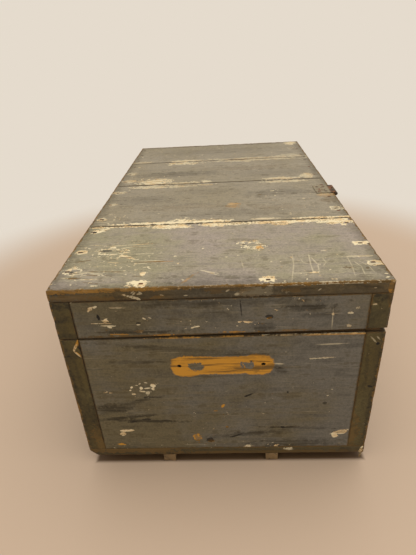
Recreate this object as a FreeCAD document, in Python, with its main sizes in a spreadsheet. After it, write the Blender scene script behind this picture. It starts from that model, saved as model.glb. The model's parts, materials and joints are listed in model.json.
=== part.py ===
import FreeCAD
import Part
import math
import os
import re
import Sketcher

# A nailed wooden trunk, in millimetres, on two runners, with a planked lid that swings on
# two iron hinges and is kept shut by a hasp and staple.
# X runs across the trunk, Y along it and Z up. The near short end faces -Y, the hinges are
# on the back board at -X, and the lid opens at the front board at +X.

SIZES = {
    # Carcass
    "box_width": 460.0,
    "box_length": 820.0,
    "wall_height": 232.6,
    "side_thickness": 28.0,
    "end_thickness": 24.0,
    "bottom_thickness": 16.0,
    "bottom_gap": 0.8,
    "worn_corner": 13.0,
    "arris": 1.6,
    # Runners, each placed by the middle of its width
    "runner_width": 21.0,
    "runner_height": 17.0,
    "runner_back_place": 95.0,
    "runner_front_place": 78.4,
    # Lid
    "seam_gap": 0.6,
    "lid_frame_height": 62.8,
    "lid_warp": 6.4,
    "plank_thickness": 19.0,
    "plank_gap": 0.9,
    "plank_1_width": 215.5,
    "plank_2_width": 232.0,
    "plank_3_width": 189.0,
    # Screw holes that a lost handle left in each end
    "handle_height": 212.8,
    "handle_hole_spacing": 123.0,
    "handle_hole_radius": 2.2,
    "handle_hole_depth": 19.0,
    # Cut nails
    "nail_head_length": 6.0,
    "nail_head_width": 4.0,
    "nail_head_height": 1.2,
    "nail_shank": 2.6,
    "nail_tip": 1.2,
    "top_nail_length": 46.0,
    "corner_nail_length": 56.0,
    "bottom_nail_length": 44.0,
    "runner_nail_length": 29.0,
    # Wood screws
    "screw_head_radius": 3.5,
    "screw_head_height": 1.6,
    "screw_shank_radius": 1.7,
    "screw_length": 15.0,
    # Hinges, each placed by its middle from the end of the trunk
    "hinge_inset": 145.0,
    "hinge_length": 64.0,
    "hinge_reach": 36.0,
    "hinge_plate": 1.8,
    "hinge_barrel": 3.6,
    "hinge_pin": 1.9,
    "barrel_gap": 0.2,
    "knuckle_gap": 0.4,
    "pin_clearance": 0.05,
    "pin_head": 2.8,
    "pin_head_height": 1.4,
    # Hasp
    "hasp_place": 40.0,
    "hasp_width": 46.0,
    "hasp_leaf_reach": 38.0,
    "hasp_plate": 1.8,
    "hasp_barrel": 3.6,
    "strap_end_width": 36.0,
    "slot_length": 26.0,
    "slot_height": 7.6,
    "slot_rise": 4.8,
    "strap_clearance": 0.3,
    # Staple
    "staple_drop": 24.6,
    "staple_plate_length": 48.0,
    "staple_plate_height": 26.0,
    "staple_plate": 1.8,
    "staple_span": 18.0,
    "staple_bar": 5.0,
    "staple_reach": 13.0,
    "staple_root": 20.0,
    # How far a cutting tool runs past what it cuts
    "overrun": 4.0,
}
KNUCKLES = 3
TOUCH = 1e-6

doc = FreeCAD.newDocument("WoodenTrunk")
sheet = doc.addObject("Spreadsheet::Sheet", "Sizes")
for row, (alias, size) in enumerate(SIZES.items(), 1):
    sheet.set("A%d" % row, alias)
    sheet.set("B%d" % row, str(size))
    sheet.setAlias("B%d" % row, alias)
doc.recompute()

ORIGIN = FreeCAD.Vector(0, 0, 0)
AXES = {"x": FreeCAD.Vector(1, 0, 0), "y": FreeCAD.Vector(0, 1, 0), "z": FreeCAD.Vector(0, 0, 1)}
# A fastener's pattern points down; these turn it to the way that it is driven.
DRIVEN = {
    "-z": FreeCAD.Rotation(),
    "+z": FreeCAD.Rotation(AXES["x"], 180),
    "+x": FreeCAD.Rotation(AXES["y"], -90),
    "-x": FreeCAD.Rotation(AXES["y"], 90),
    "+y": FreeCAD.Rotation(AXES["x"], 90),
    "-y": FreeCAD.Rotation(AXES["x"], -90),
}
nodes = []


# Rules are sums of the sheet's words, such as "box_width / 2".
def linked(rule):
    """The rule as an expression on the sheet."""
    return re.sub(r"[a-z]\w*", lambda word: "Sizes." + word.group(), rule)


def measure(rule):
    """The rule's value now."""
    return float(sheet.evalExpression(linked(rule)))


def point(x, y, z):
    """The point that three rules give."""
    return FreeCAD.Vector(measure(x), measure(y), measure(z))


def bind(part, **rules):
    """Ties properties of a part to the sheet."""
    for name, rule in rules.items():
        part.setExpression(name, linked(rule))
    return part


def put(part, place, turn=None):
    """Ties a part's place to the sheet, after a fixed turn."""
    if turn is not None:
        part.Placement = FreeCAD.Placement(ORIGIN, turn)
    for axis, rule in zip("xyz", place):
        part.setExpression("Placement.Base." + axis, linked(rule))
    return part


def solid(kind, name, place, turn=None, **rules):
    """A Part primitive whose sizes and place follow the sheet."""
    return put(bind(doc.addObject("Part::" + kind, name), **rules), place, turn)


def fuse(name, pieces):
    """One solid from several that overlap."""
    union = doc.addObject("Part::MultiFuse", name)
    union.Shapes = pieces
    return union


def cut(name, base, tools):
    """The base without its tools."""
    result = doc.addObject("Part::Cut", name)
    result.Base = base
    result.Tool = tools[0]
    if len(tools) > 1:
        result.Tool = doc.addObject("Part::Compound", name + "_tools")
        result.Tool.Links = tools
    return result


def node(part, name):
    """Registers a finished sub-part under its name."""
    part.Label = name
    nodes.append(part)
    return part


def outline(body, role, corners):
    """A closed straight-sided sketch on one of a body's origin planes."""
    sketch = body.newObject("Sketcher::SketchObject", body.Name + "_outline")
    plane = [each for each in body.Origin.OriginFeatures if each.Role == role][0]
    sketch.AttachmentSupport = [(plane, "")]
    sketch.MapMode = "FlatFace"
    spots = [FreeCAD.Vector(measure(across), measure(up), 0) for across, up in corners]
    for here, there in zip(spots, spots[1:] + spots[:1]):
        sketch.addGeometry(Part.LineSegment(here, there))
    for index, (across, up) in enumerate(corners):
        following = (index + 1) % len(corners)
        sketch.addConstraint(Sketcher.Constraint("Coincident", index, 2, following, 1))
        for kind, axis, rule in (("DistanceX", -2, across), ("DistanceY", -1, up)):
            if rule == "0":
                sketch.addConstraint(Sketcher.Constraint("PointOnObject", index, 1, axis))
            else:
                number = sketch.addConstraint(Sketcher.Constraint(kind, index, 1, measure(rule)))
                sketch.setExpression("Constraints[%d]" % number, linked(rule))
    return sketch


def rectangle(width, height):
    """The four corners of a rectangle from its lower left corner."""
    return [("0", "0"), (width, "0"), (width, height), ("0", height)]


def edges_between(shape, pairs):
    """Names of the edges that lie on both sides of a pair, such as ("-y", "+z")."""
    box = shape.BoundBox
    limits = {"-x": box.XMin, "+x": box.XMax, "-y": box.YMin, "+y": box.YMax,
              "-z": box.ZMin, "+z": box.ZMax}
    names = []
    for number, edge in enumerate(shape.Edges, 1):
        middle = edge.CenterOfMass
        for pair in pairs:
            if all(abs(getattr(middle, side[1]) - limits[side]) < TOUCH for side in pair):
                names.append("Edge%d" % number)
    return names


def board(name, role, corners, depth, place, arrises=(), worn=()):
    """A sawn board: a padded outline with blunted arrises and perhaps one worn corner."""
    body = doc.addObject("PartDesign::Body", name + "_board")
    sketch = outline(body, role, corners)
    pad = bind(body.newObject("PartDesign::Pad", name + "_pad"), Length=depth)
    pad.Profile = sketch
    pad.Reversed = role == "XZ_Plane"
    doc.recompute()
    for size, pairs in (("arris", arrises), ("worn_corner", worn)):
        if pairs:
            last = body.Tip
            bevel = bind(body.newObject("PartDesign::Chamfer", "%s_%s" % (name, size)), Size=size)
            bevel.Base = (last, edges_between(last.Shape, pairs))
            doc.recompute()
    return put(body, place)


# Heights and ends that several pieces share
WALL_FOOT = "runner_height + bottom_thickness"
BASE_TOP = WALL_FOOT + " + wall_height"
LID_FOOT = BASE_TOP + " + seam_gap"
FRAME_TOP = LID_FOOT + " + lid_frame_height"
LID_TOP = FRAME_TOP + " + plank_thickness"
LEFT = "-box_width / 2"
RIGHT = "box_width / 2"
NEAR = "-box_length / 2"
FAR = "box_length / 2"
INNER_WIDTH = "box_width - 2 * side_thickness"


# Fasteners
def spike(name, place, turn, foot, tip, length):
    """A square bar that tapers along its length from one half-width to another."""
    return solid("Wedge", name, place, turn, Ymin="0", Ymax=length,
                 Xmin="-1 * " + foot, Xmax=foot, Zmin="-1 * " + foot, Zmax=foot,
                 X2min="-1 * " + tip, X2max=tip, Z2min="-1 * " + tip, Z2max=tip)


def nail(name, length):
    """A cut nail that points down from its head's outer face: a flat head on a tapered shank."""
    head = solid("Box", name + "_head",
                 ("-nail_head_length / 2", "-nail_head_width / 2", "-nail_head_height"),
                 Length="nail_head_length", Width="nail_head_width", Height="nail_head_height")
    shank = spike(name + "_shank", ("0", "0", "0"), DRIVEN["-y"], "nail_shank / 2", "nail_tip / 2", length)
    return fuse(name, [head, shank])


def facets(name, place, foot, tip, length):
    """An eight-sided bar down from its place: what two square bars share, one turned by an eighth."""
    bars = [spike("%s_%d" % (name, angle), place, FreeCAD.Rotation(AXES["z"], angle).multiply(DRIVEN["-y"]),
                  foot, tip, length)
            for angle in (0, 45)]
    shared = doc.addObject("Part::MultiCommon", name)
    shared.Shapes = bars
    return shared


def screw(name):
    """A countersunk wood screw that points down from its head's face, in flat facets."""
    head = facets(name + "_head", ("0", "0", "0"), "screw_head_radius", "screw_shank_radius",
                  "screw_head_height")
    shank = facets(name + "_shank", ("0", "0", "-screw_head_height"), "screw_shank_radius",
                   "screw_shank_radius", "(screw_length - screw_head_height)")
    return fuse(name, [head, shank])


def group(name, pattern, seats):
    """Like fasteners as one node: a copy of the pattern at each seat, a point and a way in.

    Returns the same shape once more, to drill the boards with.
    """
    copies = []
    for seat, way in seats:
        copy = pattern.Shape.copy()
        copy.Placement = FreeCAD.Placement(seat, DRIVEN[way])
        copies.append(copy)
    fasteners = doc.addObject("Part::Feature", name)
    fasteners.Shape = Part.makeCompound(copies)
    node(fasteners, name)
    bores = doc.addObject("Part::Feature", name + "_bores")
    bores.Shape = Part.makeCompound(copies)
    return bores


def share(rule, part):
    """A share of a length, as a rule."""
    return "(%s) * %s" % (rule, part)


def at(start, length, part):
    """The rule of a place along a length, from its start."""
    return "%s + %s" % (start, share(length, part))


top_nail = nail("top_nail", "top_nail_length")
corner_nail = nail("corner_nail", "corner_nail_length")
bottom_nail = nail("bottom_nail", "bottom_nail_length")
runner_nail = nail("runner_nail", "runner_nail_length")
wood_screw = screw("wood_screw")
doc.recompute()

# Lid planks and bottom planks, from the near end: each a start and a width along Y
LID_PLANKS = []
start = NEAR
for width in ("plank_1_width", "plank_2_width", "plank_3_width"):
    LID_PLANKS.append((start, width))
    start += " + %s + plank_gap" % width
LID_PLANKS.append((start, "%s - (%s)" % (FAR, start)))
BOTTOM_COUNT = 4
BOTTOM_WIDTH = "(box_length - %d * bottom_gap) / %d" % (BOTTOM_COUNT - 1, BOTTOM_COUNT)
BOTTOM_PLANKS = [("%s + %d * (%s + bottom_gap)" % (NEAR, index, BOTTOM_WIDTH), BOTTOM_WIDTH)
                 for index in range(BOTTOM_COUNT)]

# Nails sit at these shares of the width of the plank, or of the length of the board, they hold
LID_NAIL_SHARES = ((0.24, 0.53, 0.90), (0.15, 0.48, 0.80), (0.16, 0.50, 0.84), (0.15, 0.50, 0.80))
END_NAIL_SHARES = {NEAR: (-0.224, 0.146), FAR: (-0.15, 0.21)}
BASE_CORNER_SHARES = (0.14, 0.5, 0.86)
LID_CORNER_SHARES = (0.3, 0.72)
BOTTOM_NAIL_SHARES = (0.25, 0.75)
BOTTOM_END_SHARES = (-0.3, 0.0, 0.3)
RUNNER_NAIL_SHARE = 0.5

SIDE_MIDDLE = "(box_width - side_thickness) / 2"
END_MIDDLE = "(box_length - end_thickness) / 2"

seats = [(point(sign + SIDE_MIDDLE, at(start, width, part), LID_TOP), "-z")
         for (start, width), parts in zip(LID_PLANKS, LID_NAIL_SHARES)
         for part in parts for sign in ("-", "")]
seats += [(point(share("box_width", part), sign + END_MIDDLE, LID_TOP), "-z")
          for sign, end in (("-", NEAR), ("", FAR)) for part in END_NAIL_SHARES[end]]
lid_top_nail_bores = group("lid_top_nails", top_nail, seats)


def corner_seats(foot, height, parts):
    """Nails through the side boards into the ends of the end boards, at shares of a height."""
    return [(point(side, sign + END_MIDDLE, at(foot, height, part)), way)
            for side, way in ((LEFT, "+x"), (RIGHT, "-x"))
            for sign in ("-", "") for part in parts]


lid_corner_nail_bores = group("lid_corner_nails", corner_nail,
                              corner_seats(LID_FOOT, "lid_frame_height", LID_CORNER_SHARES))
base_corner_nail_bores = group("base_corner_nails", corner_nail,
                               corner_seats(WALL_FOOT, "wall_height", BASE_CORNER_SHARES))

seats = [(point(sign + SIDE_MIDDLE, at(start, width, part), "runner_height"), "+z")
         for start, width in BOTTOM_PLANKS for part in BOTTOM_NAIL_SHARES for sign in ("-", "")]
seats += [(point(share("box_width", part), sign + END_MIDDLE, "runner_height"), "+z")
          for sign in ("-", "") for part in BOTTOM_END_SHARES]
bottom_nail_bores = group("bottom_nails", bottom_nail, seats)

RUNNER_PLACES = {"runner_back": "-runner_back_place", "runner_front": "runner_front_place"}
seats = [(point(place, at(start, width, RUNNER_NAIL_SHARE), "0"), "+z")
         for place in RUNNER_PLACES.values() for start, width in BOTTOM_PLANKS]
runner_nail_bores = group("runner_nails", runner_nail, seats)

# Hinges: the pin's line, then the screws
HINGE_X = "-(box_width / 2 + barrel_gap + hinge_barrel)"
HINGE_Z = BASE_TOP + " + seam_gap / 2"
HINGES = {"near": NEAR + " + hinge_inset", "far": FAR + " - hinge_inset"}
# Shares of a leaf's length and reach
HINGE_SCREW_SHARES = ((-0.33, 0.52), (0.0, 0.76), (0.33, 0.52))


def hinge_seats(sign):
    """The screws of both hinges' leaves, above the pin for a sign of "" and below it for "-1 * "."""
    return [(point("-box_width / 2 - hinge_plate", at(place, "hinge_length", along),
                   "%s + %s%s" % (HINGE_Z, sign, share("hinge_reach", down))), "+x")
            for place in HINGES.values() for along, down in HINGE_SCREW_SHARES]


hinge_lid_screw_bores = group("hinge_lid_screws", wood_screw, hinge_seats(""))
hinge_base_screw_bores = group("hinge_base_screws", wood_screw, hinge_seats("-1 * "))

# Hasp: the pin's line, then the screws of its leaf and of the staple
HASP_X = "box_width / 2 + barrel_gap + hasp_barrel"
HASP_Y = "-hasp_place"
HASP_Z = LID_TOP + " + hasp_plate - hasp_barrel"
STAPLE_Z = BASE_TOP + " - staple_drop"
HASP_SCREW_SHARES = ((-0.3, 0.48), (0.3, 0.48), (-0.3, 0.82), (0.3, 0.82))
STAPLE_SCREW_SHARES = (-0.37, 0.37)
hasp_screw_bores = group("hasp_screws", wood_screw, [
    (point("%s - %s" % (HASP_X, share("hasp_leaf_reach", inward)),
           at(HASP_Y, "hasp_width", along), LID_TOP + " + hasp_plate"), "-z")
    for along, inward in HASP_SCREW_SHARES])
staple_screw_bores = group("staple_screws", wood_screw, [
    (point("box_width / 2 + staple_plate", at(HASP_Y, "staple_plate_length", along), STAPLE_Z), "-x")
    for along in STAPLE_SCREW_SHARES])


# Iron that turns on a pin. A leaf is made in its own frame: the barrel lies along Y through
# the origin, the plate hangs down from it and lies on the barrel's -X side.
def rod(name, radius, length, middle=("0", "0", "0")):
    """A round bar along Y, centred on a point."""
    place = (middle[0], "%s - (%s) / 2" % (middle[1], length), middle[2])
    return solid("Cylinder", name, place, DRIVEN["-y"], Radius=radius, Height=length)


def rolled(name, plate, width, barrel, standoff, first):
    """Rolls a plate's top edge into a barrel of knuckles and keeps every other one from the first."""
    tools = [rod(name + "_bore", "hinge_pin + pin_clearance", width + " + 2 * overrun")]
    reach = "(%s + %s + knuckle_gap)" % (barrel, standoff)
    for index in range(1 - first, KNUCKLES, 2):
        start = "-%s / 2 + %d * %s / %d - knuckle_gap / 2" % (width, index, width, KNUCKLES)
        tools.append(solid("Box", "%s_window_%d" % (name, index), ("-" + reach, start, "-" + reach),
                           Length="2 * " + reach, Height="2 * " + reach,
                           Width="%s / %d + knuckle_gap" % (width, KNUCKLES)))
    barrel_rod = rod(name + "_barrel", barrel, width)
    return cut(name, fuse(name + "_roll", [plate, barrel_rod]), [fuse(name + "_cuts", tools)])


def hinge_leaf(name, first, turn, place):
    """One leaf of a hinge, turned and put on its pin's line."""
    plate = solid("Box", name + "_plate",
                  ("-hinge_barrel - barrel_gap", "-hinge_length / 2", "-hinge_reach"),
                  Length="hinge_plate", Width="hinge_length", Height="hinge_reach")
    leaf = rolled(name + "_leaf", plate, "hinge_length", "hinge_barrel", "barrel_gap", first)
    return put(leaf, place, turn)


def pin(name, length, line):
    """A pin on its line, with its two ends hammered to heads."""
    across, along, up = line
    head_middle = "(%s + pin_head_height) / 2" % length
    pieces = [rod(name + "_shank", "hinge_pin", length, line)]
    for side, sign in (("near", "-"), ("far", "+")):
        pieces.append(rod("%s_%s_head" % (name, side), "pin_head", "pin_head_height",
                          (across, "%s %s %s" % (along, sign, head_middle), up)))
    return fuse(name, pieces)


UP_FACING_FRONT = FreeCAD.Rotation(AXES["y"], 180)
DOWN_FACING_FRONT = FreeCAD.Rotation(AXES["z"], 180)
hinge_pins = node(doc.addObject("Part::Compound", "hinge_pins"), "hinge_pins")
for side, along in HINGES.items():
    line = (HINGE_X, along, HINGE_Z)
    for half, first, turn, bores in (("lid", 1, UP_FACING_FRONT, hinge_lid_screw_bores),
                                     ("base", 0, DOWN_FACING_FRONT, hinge_base_screw_bores)):
        name = "hinge_%s_%s_leaf" % (side, half)
        node(cut(name, hinge_leaf(name, first, turn, line), [bores]), name)
    hinge_pins.Links += [pin("hinge_%s_pin" % side, "hinge_length", line)]

# Hasp leaf on the lid's top, with its barrel over the front arris
hasp_line = (HASP_X, HASP_Y, HASP_Z)
leaf_plate = solid("Box", "hasp_leaf_plate", ("-hasp_barrel", "-hasp_width / 2", "-hasp_leaf_reach"),
                   Length="hasp_plate", Width="hasp_width", Height="hasp_leaf_reach")
hasp_leaf = put(rolled("hasp_leaf_blank", leaf_plate, "hasp_width", "hasp_barrel", "0", 0),
                hasp_line, FreeCAD.Rotation(AXES["y"], 90))
node(cut("hasp_leaf", hasp_leaf, [hasp_screw_bores]), "hasp_leaf")
node(pin("hasp_pin", "hasp_width", hasp_line), "hasp_pin")

# Staple: a square bar bent to a half ring, with its two legs driven through a plate into the
# front board
STAPLE_X = "box_width / 2 + staple_reach - (staple_span + staple_bar) / 2"
STAPLE_FOOT = STAPLE_Z + " - staple_bar / 2"
ring = [solid("Cylinder", "staple_" + side, (STAPLE_X, HASP_Y, STAPLE_FOOT),
              FreeCAD.Rotation(AXES["z"], -90), Height="staple_bar",
              Radius="(staple_span %s staple_bar) / 2" % sign)
        for side, sign in (("outside", "+"), ("inside", "-"))]
ring[0].Angle = 180
legs = [solid("Box", "staple_leg_" + side,
              ("box_width / 2 - staple_root", "%s + %sstaple_span / 2 - staple_bar / 2" % (HASP_Y, sign),
               STAPLE_FOOT),
              Width="staple_bar", Height="staple_bar",
              Length=STAPLE_X + " - (box_width / 2 - staple_root)")
        for side, sign in (("near", "-1 * "), ("far", ""))]
plate = solid("Box", "staple_plate", (RIGHT, HASP_Y + " - staple_plate_length / 2",
                                      STAPLE_Z + " - staple_plate_height / 2"),
              Length="staple_plate", Width="staple_plate_length", Height="staple_plate_height")
staple = fuse("staple_blank", legs + [cut("staple_ring", ring[0], ring[1:]), plate])
node(cut("hasp_staple", staple, [staple_screw_bores]), "hasp_staple")

# Strap: it tapers to a round end with a punched slot, and leans on the staple's ring, because
# the warped lid holds its slot a little above it
SLOT_PLACE = "%s - (%s) - slot_rise" % (HASP_Z, STAPLE_Z)
strap_board = board("strap", "YZ_Plane",
                    [("-hasp_width / 2", "0"), ("-strap_end_width / 2", "-1 * (%s)" % SLOT_PLACE),
                     ("strap_end_width / 2", "-1 * (%s)" % SLOT_PLACE), ("hasp_width / 2", "0")],
                    "hasp_plate", ("-hasp_barrel", "0", "0"))
strap_end = solid("Cylinder", "strap_end", ("-hasp_barrel", "0", "-1 * (%s)" % SLOT_PLACE),
                  DRIVEN["-x"], Radius="strap_end_width / 2", Height="hasp_plate")
slot_tools = [solid("Box", "slot_middle",
                    ("-hasp_barrel - overrun", "-(slot_length - slot_height) / 2",
                     "-1 * (%s) - slot_height / 2" % SLOT_PLACE),
                    Length="hasp_plate + 2 * overrun", Width="slot_length - slot_height",
                    Height="slot_height")]
for side, sign in (("near", "-"), ("far", "")):
    slot_tools.append(solid("Cylinder", "slot_" + side,
                            ("-hasp_barrel - overrun", sign + "(slot_length - slot_height) / 2",
                             "-1 * (%s)" % SLOT_PLACE),
                            DRIVEN["-x"], Radius="slot_height / 2", Height="hasp_plate + 2 * overrun"))
strap_plate = fuse("strap_plate", [strap_board, strap_end])
strap_roll = rolled("strap_roll_blank", strap_plate, "hasp_width", "hasp_barrel", "0", 1)
hasp_strap = node(cut("hasp_strap", strap_roll, [fuse("strap_slot", slot_tools)]), "hasp_strap")


def lean():
    """The strap's angle off plumb, in degrees, with its inner face just clear of the ring's top edge."""
    out = measure("%s - (%s + (staple_span + staple_bar) / 2)" % (HASP_X, STAPLE_X))
    down = measure("%s - (%s + staple_bar / 2)" % (HASP_Z, STAPLE_Z))
    reach = measure("hasp_barrel + strap_clearance")
    return math.degrees(math.atan2(down, out) - math.acos(reach / math.hypot(out, down)))


strap_lean = lean()
hasp_strap.Placement = FreeCAD.Placement(point(*hasp_line), FreeCAD.Rotation(AXES["y"], -strap_lean))

# Screw holes of the lost handles, one pair in each end
def handle_holes(end, face, way):
    """The pair of holes in one end board."""
    return [solid("Cylinder", "handle_hole_%s_%s" % (end, side),
                  (sign + "handle_hole_spacing / 2", face, "handle_height"), DRIVEN[way],
                  Radius="handle_hole_radius", Height="handle_hole_depth")
            for side, sign in (("left", "-"), ("right", ""))]


# Carcass boards, each drilled for the fasteners that it takes
def drilled(name, blank, fasteners):
    """A board without the wood that its fasteners displace."""
    return node(cut(name, blank, fasteners), name)


for index, (start, width) in enumerate(LID_PLANKS, 1):
    name = "lid_plank_%d" % index
    arrises = [("-x", "+z"), ("+x", "+z")]
    if index == 1:
        arrises.append(("-y", "+z"))
    if index == len(LID_PLANKS):
        arrises.append(("+y", "+z"))
    blank = board(name, "XY_Plane", rectangle("box_width", width), "plank_thickness",
                  (LEFT, start, FRAME_TOP), arrises)
    drilled(name, blank, [lid_top_nail_bores, hasp_screw_bores])

# The lid's saw cut wanders: its near front corner stands open by the warp
lid_bores = [lid_top_nail_bores, lid_corner_nail_bores]
blank = board("lid_front_board", "YZ_Plane",
              [("0", "lid_warp"), ("box_length", "0"), ("box_length", "lid_frame_height"),
               ("0", "lid_frame_height")],
              "side_thickness", ("box_width / 2 - side_thickness", NEAR, LID_FOOT),
              [("+x", "-y"), ("+x", "+y")])
drilled("lid_front_board", blank, lid_bores)
blank = board("lid_back_board", "YZ_Plane", rectangle("box_length", "lid_frame_height"),
              "side_thickness", (LEFT, NEAR, LID_FOOT), [("-x", "-y"), ("-x", "+y")])
drilled("lid_back_board", blank, lid_bores + [hinge_lid_screw_bores])
blank = board("lid_near_board", "XZ_Plane",
              [("0", share("lid_warp", "side_thickness / box_width")),
               (INNER_WIDTH, share("lid_warp", "(box_width - side_thickness) / box_width")),
               (INNER_WIDTH, "lid_frame_height"), ("0", "lid_frame_height")],
              "end_thickness", (LEFT + " + side_thickness", NEAR, LID_FOOT))
drilled("lid_near_board", blank, lid_bores)
blank = board("lid_far_board", "XZ_Plane", rectangle(INNER_WIDTH, "lid_frame_height"),
              "end_thickness", (LEFT + " + side_thickness", FAR + " - end_thickness", LID_FOOT))
drilled("lid_far_board", blank, lid_bores)

base_bores = [base_corner_nail_bores, bottom_nail_bores]
wall = rectangle("box_length", "wall_height")
blank = board("base_front_board", "YZ_Plane", wall, "side_thickness",
              ("box_width / 2 - side_thickness", NEAR, WALL_FOOT),
              [("+x", "+z"), ("+x", "-y"), ("+x", "+y")])
drilled("base_front_board", blank, base_bores + [staple, staple_screw_bores])
blank = board("base_back_board", "YZ_Plane", wall, "side_thickness",
              (LEFT, NEAR, WALL_FOOT), [("-x", "-y"), ("-x", "+y")])
drilled("base_back_board", blank, base_bores + [hinge_base_screw_bores])
for end, face, way, place in (("near", NEAR, "-y", NEAR), ("far", FAR, "+y", FAR + " - end_thickness")):
    name = "base_%s_board" % end
    blank = board(name, "XZ_Plane", rectangle(INNER_WIDTH, "wall_height"), "end_thickness",
                  (LEFT + " + side_thickness", place, WALL_FOOT))
    drilled(name, blank, base_bores + handle_holes(end, face, way))

for index, (start, width) in enumerate(BOTTOM_PLANKS, 1):
    name = "bottom_plank_%d" % index
    arrises = [("+x", "-z")] + ([] if index == 1 else [("-x", "-z")])
    blank = board(name, "XY_Plane", rectangle("box_width", width), "bottom_thickness",
                  (LEFT, start, "runner_height"), arrises, [("-x", "-z")] if index == 1 else [])
    drilled(name, blank, [bottom_nail_bores, runner_nail_bores])

for name, middle in RUNNER_PLACES.items():
    blank = board(name, "XY_Plane", rectangle("runner_width", "box_length"), "runner_height",
                  (middle + " - runner_width / 2", NEAR, "0"),
                  [("-y", "-z"), ("+y", "-z")])
    drilled(name, blank, [runner_nail_bores])

doc.recompute()

# The row's origin lies under the middle of the whole trunk, its ironwork included
shapes = [part.Shape.BoundBox for part in nodes]
shift = -(min(box.XMin for box in shapes) + max(box.XMax for box in shapes)) / 2
for part in nodes:
    moved = FreeCAD.Placement(FreeCAD.Vector(shift, 0, 0), FreeCAD.Rotation())
    part.Placement = moved.multiply(part.Placement)
doc.recompute()

for part in doc.Objects:
    if "Invalid" in part.State or "Error" in part.State:
        raise RuntimeError("%s did not recompute: %s" % (part.Name, part.State))
os.makedirs("parts", exist_ok=True)
for part in nodes:
    shape = part.Shape
    if shape.isNull() or not shape.isValid() or shape.Volume <= 0:
        raise RuntimeError("%s has no valid shape" % part.Label)
for part in nodes:
    part.Shape.exportStep("parts/%s.step" % part.Label)
    box = part.Shape.BoundBox
    print("%-24s solids %2d  x %8.2f %8.2f  y %8.2f %8.2f  z %8.2f %8.2f" % (
        part.Label, len(part.Shape.Solids), box.XMin, box.XMax, box.YMin, box.YMax, box.ZMin, box.ZMax))
print("shift %.4f  strap lean %.3f" % (shift, strap_lean))
for name, line in (("lid hinge", (HINGE_X, "0", HINGE_Z)), ("hasp hinge", hasp_line),
                   ("staple", (STAPLE_X, HASP_Y, STAPLE_Z))):
    spot = point(*line)
    print("%s line at x %.4f  y %.4f  z %.4f" % (name, spot.x + shift, spot.y, spot.z))
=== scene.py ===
"""The looks of an old nailed trunk: softwood boards in worn grey paint, with rusty ironwork.

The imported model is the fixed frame. Its boards are made again here with worn arrises, its
ironwork is copied with softened edges, and each finish is worked out by shader nodes.
Lengths are in metres, unless a name or a docstring says millimetres.
"""

import json
import logging
import math
import random
from collections.abc import Callable, Iterator
from contextlib import contextmanager
from dataclasses import dataclass, field
from enum import Enum

import bmesh
import bpy
from mathutils import Matrix, Vector

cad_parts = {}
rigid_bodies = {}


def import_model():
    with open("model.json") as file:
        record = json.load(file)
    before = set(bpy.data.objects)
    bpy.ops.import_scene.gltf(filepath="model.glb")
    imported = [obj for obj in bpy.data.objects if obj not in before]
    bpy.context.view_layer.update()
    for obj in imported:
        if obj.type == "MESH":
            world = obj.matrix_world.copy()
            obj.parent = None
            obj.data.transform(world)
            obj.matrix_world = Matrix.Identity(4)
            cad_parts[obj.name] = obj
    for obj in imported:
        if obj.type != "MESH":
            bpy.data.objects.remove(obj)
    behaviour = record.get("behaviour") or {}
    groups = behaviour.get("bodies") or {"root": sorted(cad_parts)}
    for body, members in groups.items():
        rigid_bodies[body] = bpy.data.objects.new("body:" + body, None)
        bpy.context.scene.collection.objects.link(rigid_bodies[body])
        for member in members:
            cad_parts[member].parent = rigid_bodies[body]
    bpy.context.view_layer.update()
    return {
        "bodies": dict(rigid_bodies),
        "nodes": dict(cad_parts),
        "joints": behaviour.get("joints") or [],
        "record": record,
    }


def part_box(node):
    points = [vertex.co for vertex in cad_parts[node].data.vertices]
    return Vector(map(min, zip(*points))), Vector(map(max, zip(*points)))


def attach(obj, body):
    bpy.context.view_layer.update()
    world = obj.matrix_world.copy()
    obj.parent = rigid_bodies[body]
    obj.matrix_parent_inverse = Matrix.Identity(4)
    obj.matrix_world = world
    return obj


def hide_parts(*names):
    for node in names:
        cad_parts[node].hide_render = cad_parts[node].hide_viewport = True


log = logging.getLogger("trunk")

MM = 0.001
FAR_OFF = 10.0
SAME_PLACE = 1e-6
GRAIN_SHIFT = 7.3

Socket = bpy.types.NodeSocket
Value = float | Socket
Piece = bpy.types.Object
Material = bpy.types.Material
Outputs = bpy.types.bpy_prop_collection
Span = tuple[float, float]


class Axis(Enum):
    """A direction of the frame, by its place in a vector."""

    X = 0
    Y = 1
    Z = 2


class Side(Enum):
    """An outer face of the trunk: the axis that it lies across, and which end of it."""

    BACK = (Axis.X, -1)
    FRONT = (Axis.X, 1)
    NEAR = (Axis.Y, -1)
    FAR = (Axis.Y, 1)
    TOP = (Axis.Z, 1)

    def flat(self, parts: object) -> list:
        """Returns the two parts of a place that tell where it is on this side: across, and up or along."""
        return [parts[axis.value] for axis in Axis if axis is not self.value[0]]


class Kind(Enum):
    """What a mark in the paint shows."""

    CREAM = "old cream undercoat"
    OCHRE = "clean bare wood"
    BROWN = "bare wood gone brown"
    # Dark marks also paint shade, as on the splinter.
    DARK = "a hole, dent or knot"
    STAIN = "a dark smear"
    SCRATCH = "a pale scratch"
    PAINT = "paint left inside a bare patch"
    WORN = "a place where the paint is flecked all over"


CRISP = 0.1
BLUR = {Kind.STAIN: 0.8, Kind.WORN: 1.0, Kind.SCRATCH: 0.8}
STREWN_RAGGED = (0.5, 1.0)
ZONE_TURN = 0.2
ZONE_STRENGTH = 0.45
SCRATCH_HALF_WIDTH = 0.85
SCRATCH_REACH = 0.62
SCRATCH_RAGGED = 0.7


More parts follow.
